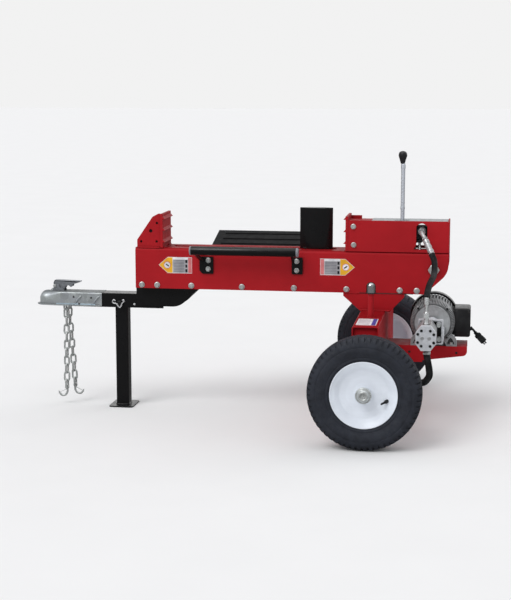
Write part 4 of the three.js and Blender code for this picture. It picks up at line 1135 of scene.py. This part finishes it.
skirt = leg_ring(LEG_HALF, 6, FOOT_TOP)
bore = LEG_HALF - 3
loft([skirt, leg_ring(LEG_HALF, 6, LEG_TOP), leg_ring(bore, 3.5, LEG_TOP), leg_ring(bore, 3.5,
                                                                                    LEG_FLOOR)])
flat_plate(oblong(LEG_X - FOOT_X, LEG_X + FOOT_X, -FOOT_Y, FOOT_Y, 13, 6), 0, FOOT_TOP)
tube([(x, y, z + 1) for x, y, z in skirt], 3, 8, loop=True)
eyelet = [(5.6, LEG_HALF + 0.6), (8.5, LEG_HALF + 0.6), (8.5, LEG_HALF - 1), (5.6, LEG_HALF - 1)]
for side in (1, -1):
    turned(eyelet, (LEG_X, 0, LEG_Z), Y * side, 24, closed=True)
piece("prop_leg", black_paint, "leg", bevel=0.8, stands_for="leg", angle=40)

pin = [(0, -58, 0), (6, -58, 1), (8, -56), (8, -49), (5, -47.5), (5, 44), (4, 49.5), (0, 50, 0)]
domed(pin, 0.8, 3, (LEG_X, 0, LEG_Z), Y, 28)
piece("hitch_pin_bar", black_oxide, "hitch_pin", stands_for="hitch_pin")

bends = [(-17, 6), (-20, 10), (-25, 10), (-28, 4), (-26, -2), (-20, -3), (-14, -4), (-7, -11), (-1, -18),
         (3, -19), (6, -13), (9, -5), (14, 1), (19, 6), (17, 12), (12, 9)]
clip = smooth_path([(LEG_X + a, -54.5 - 0.06 * a, LEG_Z + b) for a, b in bends], 6)
tube(clip, 2.2, 12)
ring_centre = Vector((LEG_X, -53, LEG_Z - 9))
tube([ring_centre + out * 9 for out in around(24)], 1.7, 10, loop=True)
piece("hitch_pin_clip", wire, "hitch_pin")

# a bright rivet on each side of the tongue
for side in (-1, 1):
    domed([(0, 0, 0), (5, 0), (4, 2.4), (0, 3.2, 0)], 1, 3, (-953, side * 34.6, 414), Y * side, 24)
piece("tongue_rivets", wire)


# ---- cradle rail
RAIL_Y, RAIL_Z = -130, 643.2
pipe = [(14, -706, 0), (17, -706, 0.6), (17, -296, 0.6), (14, -296, 0), (14, -310, 0), (14, -690, 0)]
turned(rounded(pipe, 0.5, 2), (0, RAIL_Y, RAIL_Z), X, 40, closed=True)
face = -BEAM_SIDE - 0.3
for x0, x1, z0, z1, corner in ((-681, -627, 548, 614, 12), (-321, -279, 553, 618, 3)):
    plate = [(x0, z0 + corner, 2), (x0 + corner, z0, 2), (x1, z0, 4), (x1, z1, 4), (x0, z1, 4)]
    side_plate(rounded(plate, 4, 4), face - 6, face)
for x0, x1, shift in ((-681, -660, -22), (-321, -309, 0)):
    path = [((x0 + x1) / 2 + shift * t, face - 3 + (RAIL_Y + 8 - face) * t,
             598 + (RAIL_Z - 8 - 598) * t) for t in (0, 0.25, 0.5, 0.75, 1.0)]
    half = (x1 - x0) / 2
    sweep(path, rounded(bar(half, 3), 2, 2))
piece("cradle_bar", black_paint, bevel=0.8, stands_for="cradle_rail", angle=40)

end_cap = [(0, -4, 0), (14, -4), (16.6, -3), (17.4, 0), (17.4, 3), (0, 3, 0)]
domed(end_cap, 1.5, 3, (-706, RAIL_Y, RAIL_Z), X, 36)
piece("rail_end_cap", label_dim)

end_plug = [(0, 8, 0), (14, 8), (16.6, 6), (17.3, 0), (17.3, -2), (0, -2, 0)]
domed(end_plug, 1.5, 3, (-296, RAIL_Y, RAIL_Z), X, 36)
piece("rail_plug", label_dim)

for x, z in ((-646, 601), (-647, 567), (-302, 603), (-302, 568)):
    hex_bolt((x, face - 6, z), -Y, 15, 9, 10)
for x, z in ((-634, 600), (-634, 565), (-317, 600), (-317, 565)):
    hex_bolt((x, 81.3, z), Y, 15, 9, 10)
piece("cradle_bolts", zinc)


# ---- labels, with no lettering
def label_arrow(tip, side):
    """A five-sided amber field with a ringed disc, next to a grey field with plain bars; side is +1 when
    the tip points to +X."""
    tip_x, tip_z = tip
    y = -BEAM_SIDE - 0.1

    def outline(points, depth, slot):
        side_plate([(tip_x - side * a, tip_z + b) for a, b in points], y - depth, y, slot)

    def field(a0, a1, b0, b1, depth, slot):
        outline([(a0, b1), (a1, b1), (a1, b0), (a0, b0)], depth, slot)
    outline([(-2, 0), (34, 31.5), (130, 31.5), (130, -31.5), (34, -31.5)], 0.15, 0)
    outline([(0, 0), (34, 30), (53, 30), (53, -30), (34, -30)], 0.3, 1)
    field(54, 114, -30, 30, 0.3, 2)
    field(54, 114, 22, 30, 0.4, 0)
    field(115, 129, -30, 30, 0.3, 3)
    centre = (tip_x - side * 32, y, tip_z)
    drum(14, 0.1, 0.42, centre, -Y, 32, slot=4)
    drum(11.6, 0.1, 0.55, centre, -Y, 32, slot=0)
    outline([(25, 2), (28, 5.5), (40, -2.5), (37.5, -6.5)], 0.66, 5)
    bars, blobs = ((67, 111), 60) if side > 0 else ((58, 100), 108)
    for row in range(8):
        z = 18 - row * 6
        field(*bars, z - 1.6, z + 1.6, 0.45, 6)
    for z in (15, -3, -21):
        field(blobs - 4, blobs + 4, z - 6, z + 6, 0.45, 5)


label_arrow((-842, 578.5), -1)
label_arrow((-82, 584), 1)
piece("beam_labels", [label_white, amber, label_grey, label_red, label_red, label_black, label_dim])

flat_plate(oblong(-46, 27, -402, -264, 3, 3), TANK_TOP + 0.1, TANK_TOP + 0.35, 0)
flat_plate(oblong(9, 24, -399, -267, 2, 3), TANK_TOP + 0.2, TANK_TOP + 0.55, 1)
for k in range(6):
    y = -391 + 20 * k
    flat_plate(oblong(-41, 1, y, y + 8, 1, 2), TANK_TOP + 0.2, TANK_TOP + 0.5, 2)
piece("tank_label", [label_white, label_blue, label_grey])


# ---- floor, light, camera
def stage_material():
    n = new_nodes("studio_floor")
    base = n.mix(n.spread(n.noise(3, 3), 0.0, 1.0), (0.845, 0.845, 0.845, 1), (0.86, 0.86, 0.86, 1))
    return n.finish(Base_Color=base, Roughness=1.0, Specular_IOR_Level=0.0)


REACH = 60
corners = [(-REACH, -REACH, 0), (REACH, -REACH, 0), (REACH, REACH, 0), (-REACH, REACH, 0)]
mesh = bpy.data.meshes.new("studio_floor")
mesh.from_pydata(corners, [], [(0, 1, 2, 3)])
mesh.materials.append(stage_material())
floor = bpy.data.objects.new("studio_floor", mesh)
bpy.context.scene.collection.objects.link(floor)
floor.visible_glossy = False


def studio_world():
    """Diffuse light comes from a soft ramp, and the camera sees a plain pale backdrop. Shiny surfaces see
    a bright backdrop behind the machine, a soft box above it, and a dim room on the camera's side."""
    n = Nodes(bpy.data.worlds.new("studio"))

    def band(value, start, end, height):
        ranges = {"Value": value, "From Min": start, "From Max": end, "To Min": 0.0, "To Max": height}
        return n.add("MapRange", ranges, interpolation_type="SMOOTHSTEP").outputs["Result"]

    direction = n.add("SeparateXYZ", {0: n.coordinates["Generated"]}).outputs
    up, back = direction["Z"], direction["Y"]
    ramp = n.add("ValToRGB", {0: up})
    stops = ramp.color_ramp.elements
    stops[0].color = (0.35, 0.36, 0.38, 1)
    stops[1].color = (1.35, 1.35, 1.37, 1)
    stops.new(0.42).color = (0.75, 0.76, 0.78, 1)
    diffuse = n.add("Background", {"Color": ramp.outputs[0], "Strength": 0.72})
    room = n.math("MULTIPLY", band(back, 0.35, 0.8, 0.9), band(up, -0.04, 0.08, 1.0))
    room = n.math("MULTIPLY", room, band(up, 0.6, 0.3, 1.0))
    for light in (band(up, 0.7, 0.92, 0.9), band(up, -0.5, 0.5, 0.1), 0.13):
        room = n.math("ADD", room, light)
    shiny = n.add("Background", {"Color": (1, 1, 1, 1), "Strength": room})
    seen = n.add("Background", {"Color": (0.887, 0.887, 0.887, 1)})
    ray = n.add("LightPath").outputs
    lit = n.add("MixShader", {0: ray["Is Glossy Ray"], 1: diffuse.outputs[0], 2: shiny.outputs[0]})
    final = n.add("MixShader", {0: ray["Is Camera Ray"], 1: lit.outputs[0], 2: seen.outputs[0]})
    n.add("OutputWorld", {0: final.outputs[0]})
    return n.owner


bpy.context.scene.world = studio_world()


def lamp(name, kind, energy, place, target, **settings):
    data = bpy.data.lights.new(name, kind)
    data.energy = energy
    for key, value in settings.items():
        setattr(data, key, value)
    made = bpy.data.objects.new(name, data)
    made.location = place
    made.rotation_euler = (Vector(target) - Vector(place)).to_track_quat("-Z", "Y").to_euler()
    bpy.context.scene.collection.objects.link(made)


lamp("key", "SUN", 1.15, (-2.5, -3.5, 5), (0, 0, 0.4), angle=0.6)
lamp("rim", "SUN", 0.35, (3.5, 3, 3.2), (0, 0, 0.4), angle=0.8)

camera_data = bpy.data.cameras.new("camera")
camera_data.lens = 84
camera_data.sensor_width = 36
camera = bpy.data.objects.new("camera", camera_data)
camera.location = (AXLE_X + 0.38284, -5.3521, 1.2860)
camera.rotation_euler = (math.radians(81.1), 0, math.radians(9.1))
bpy.context.scene.collection.objects.link(camera)
bpy.context.scene.camera = camera
bpy.context.scene.view_settings.view_transform = "Standard"
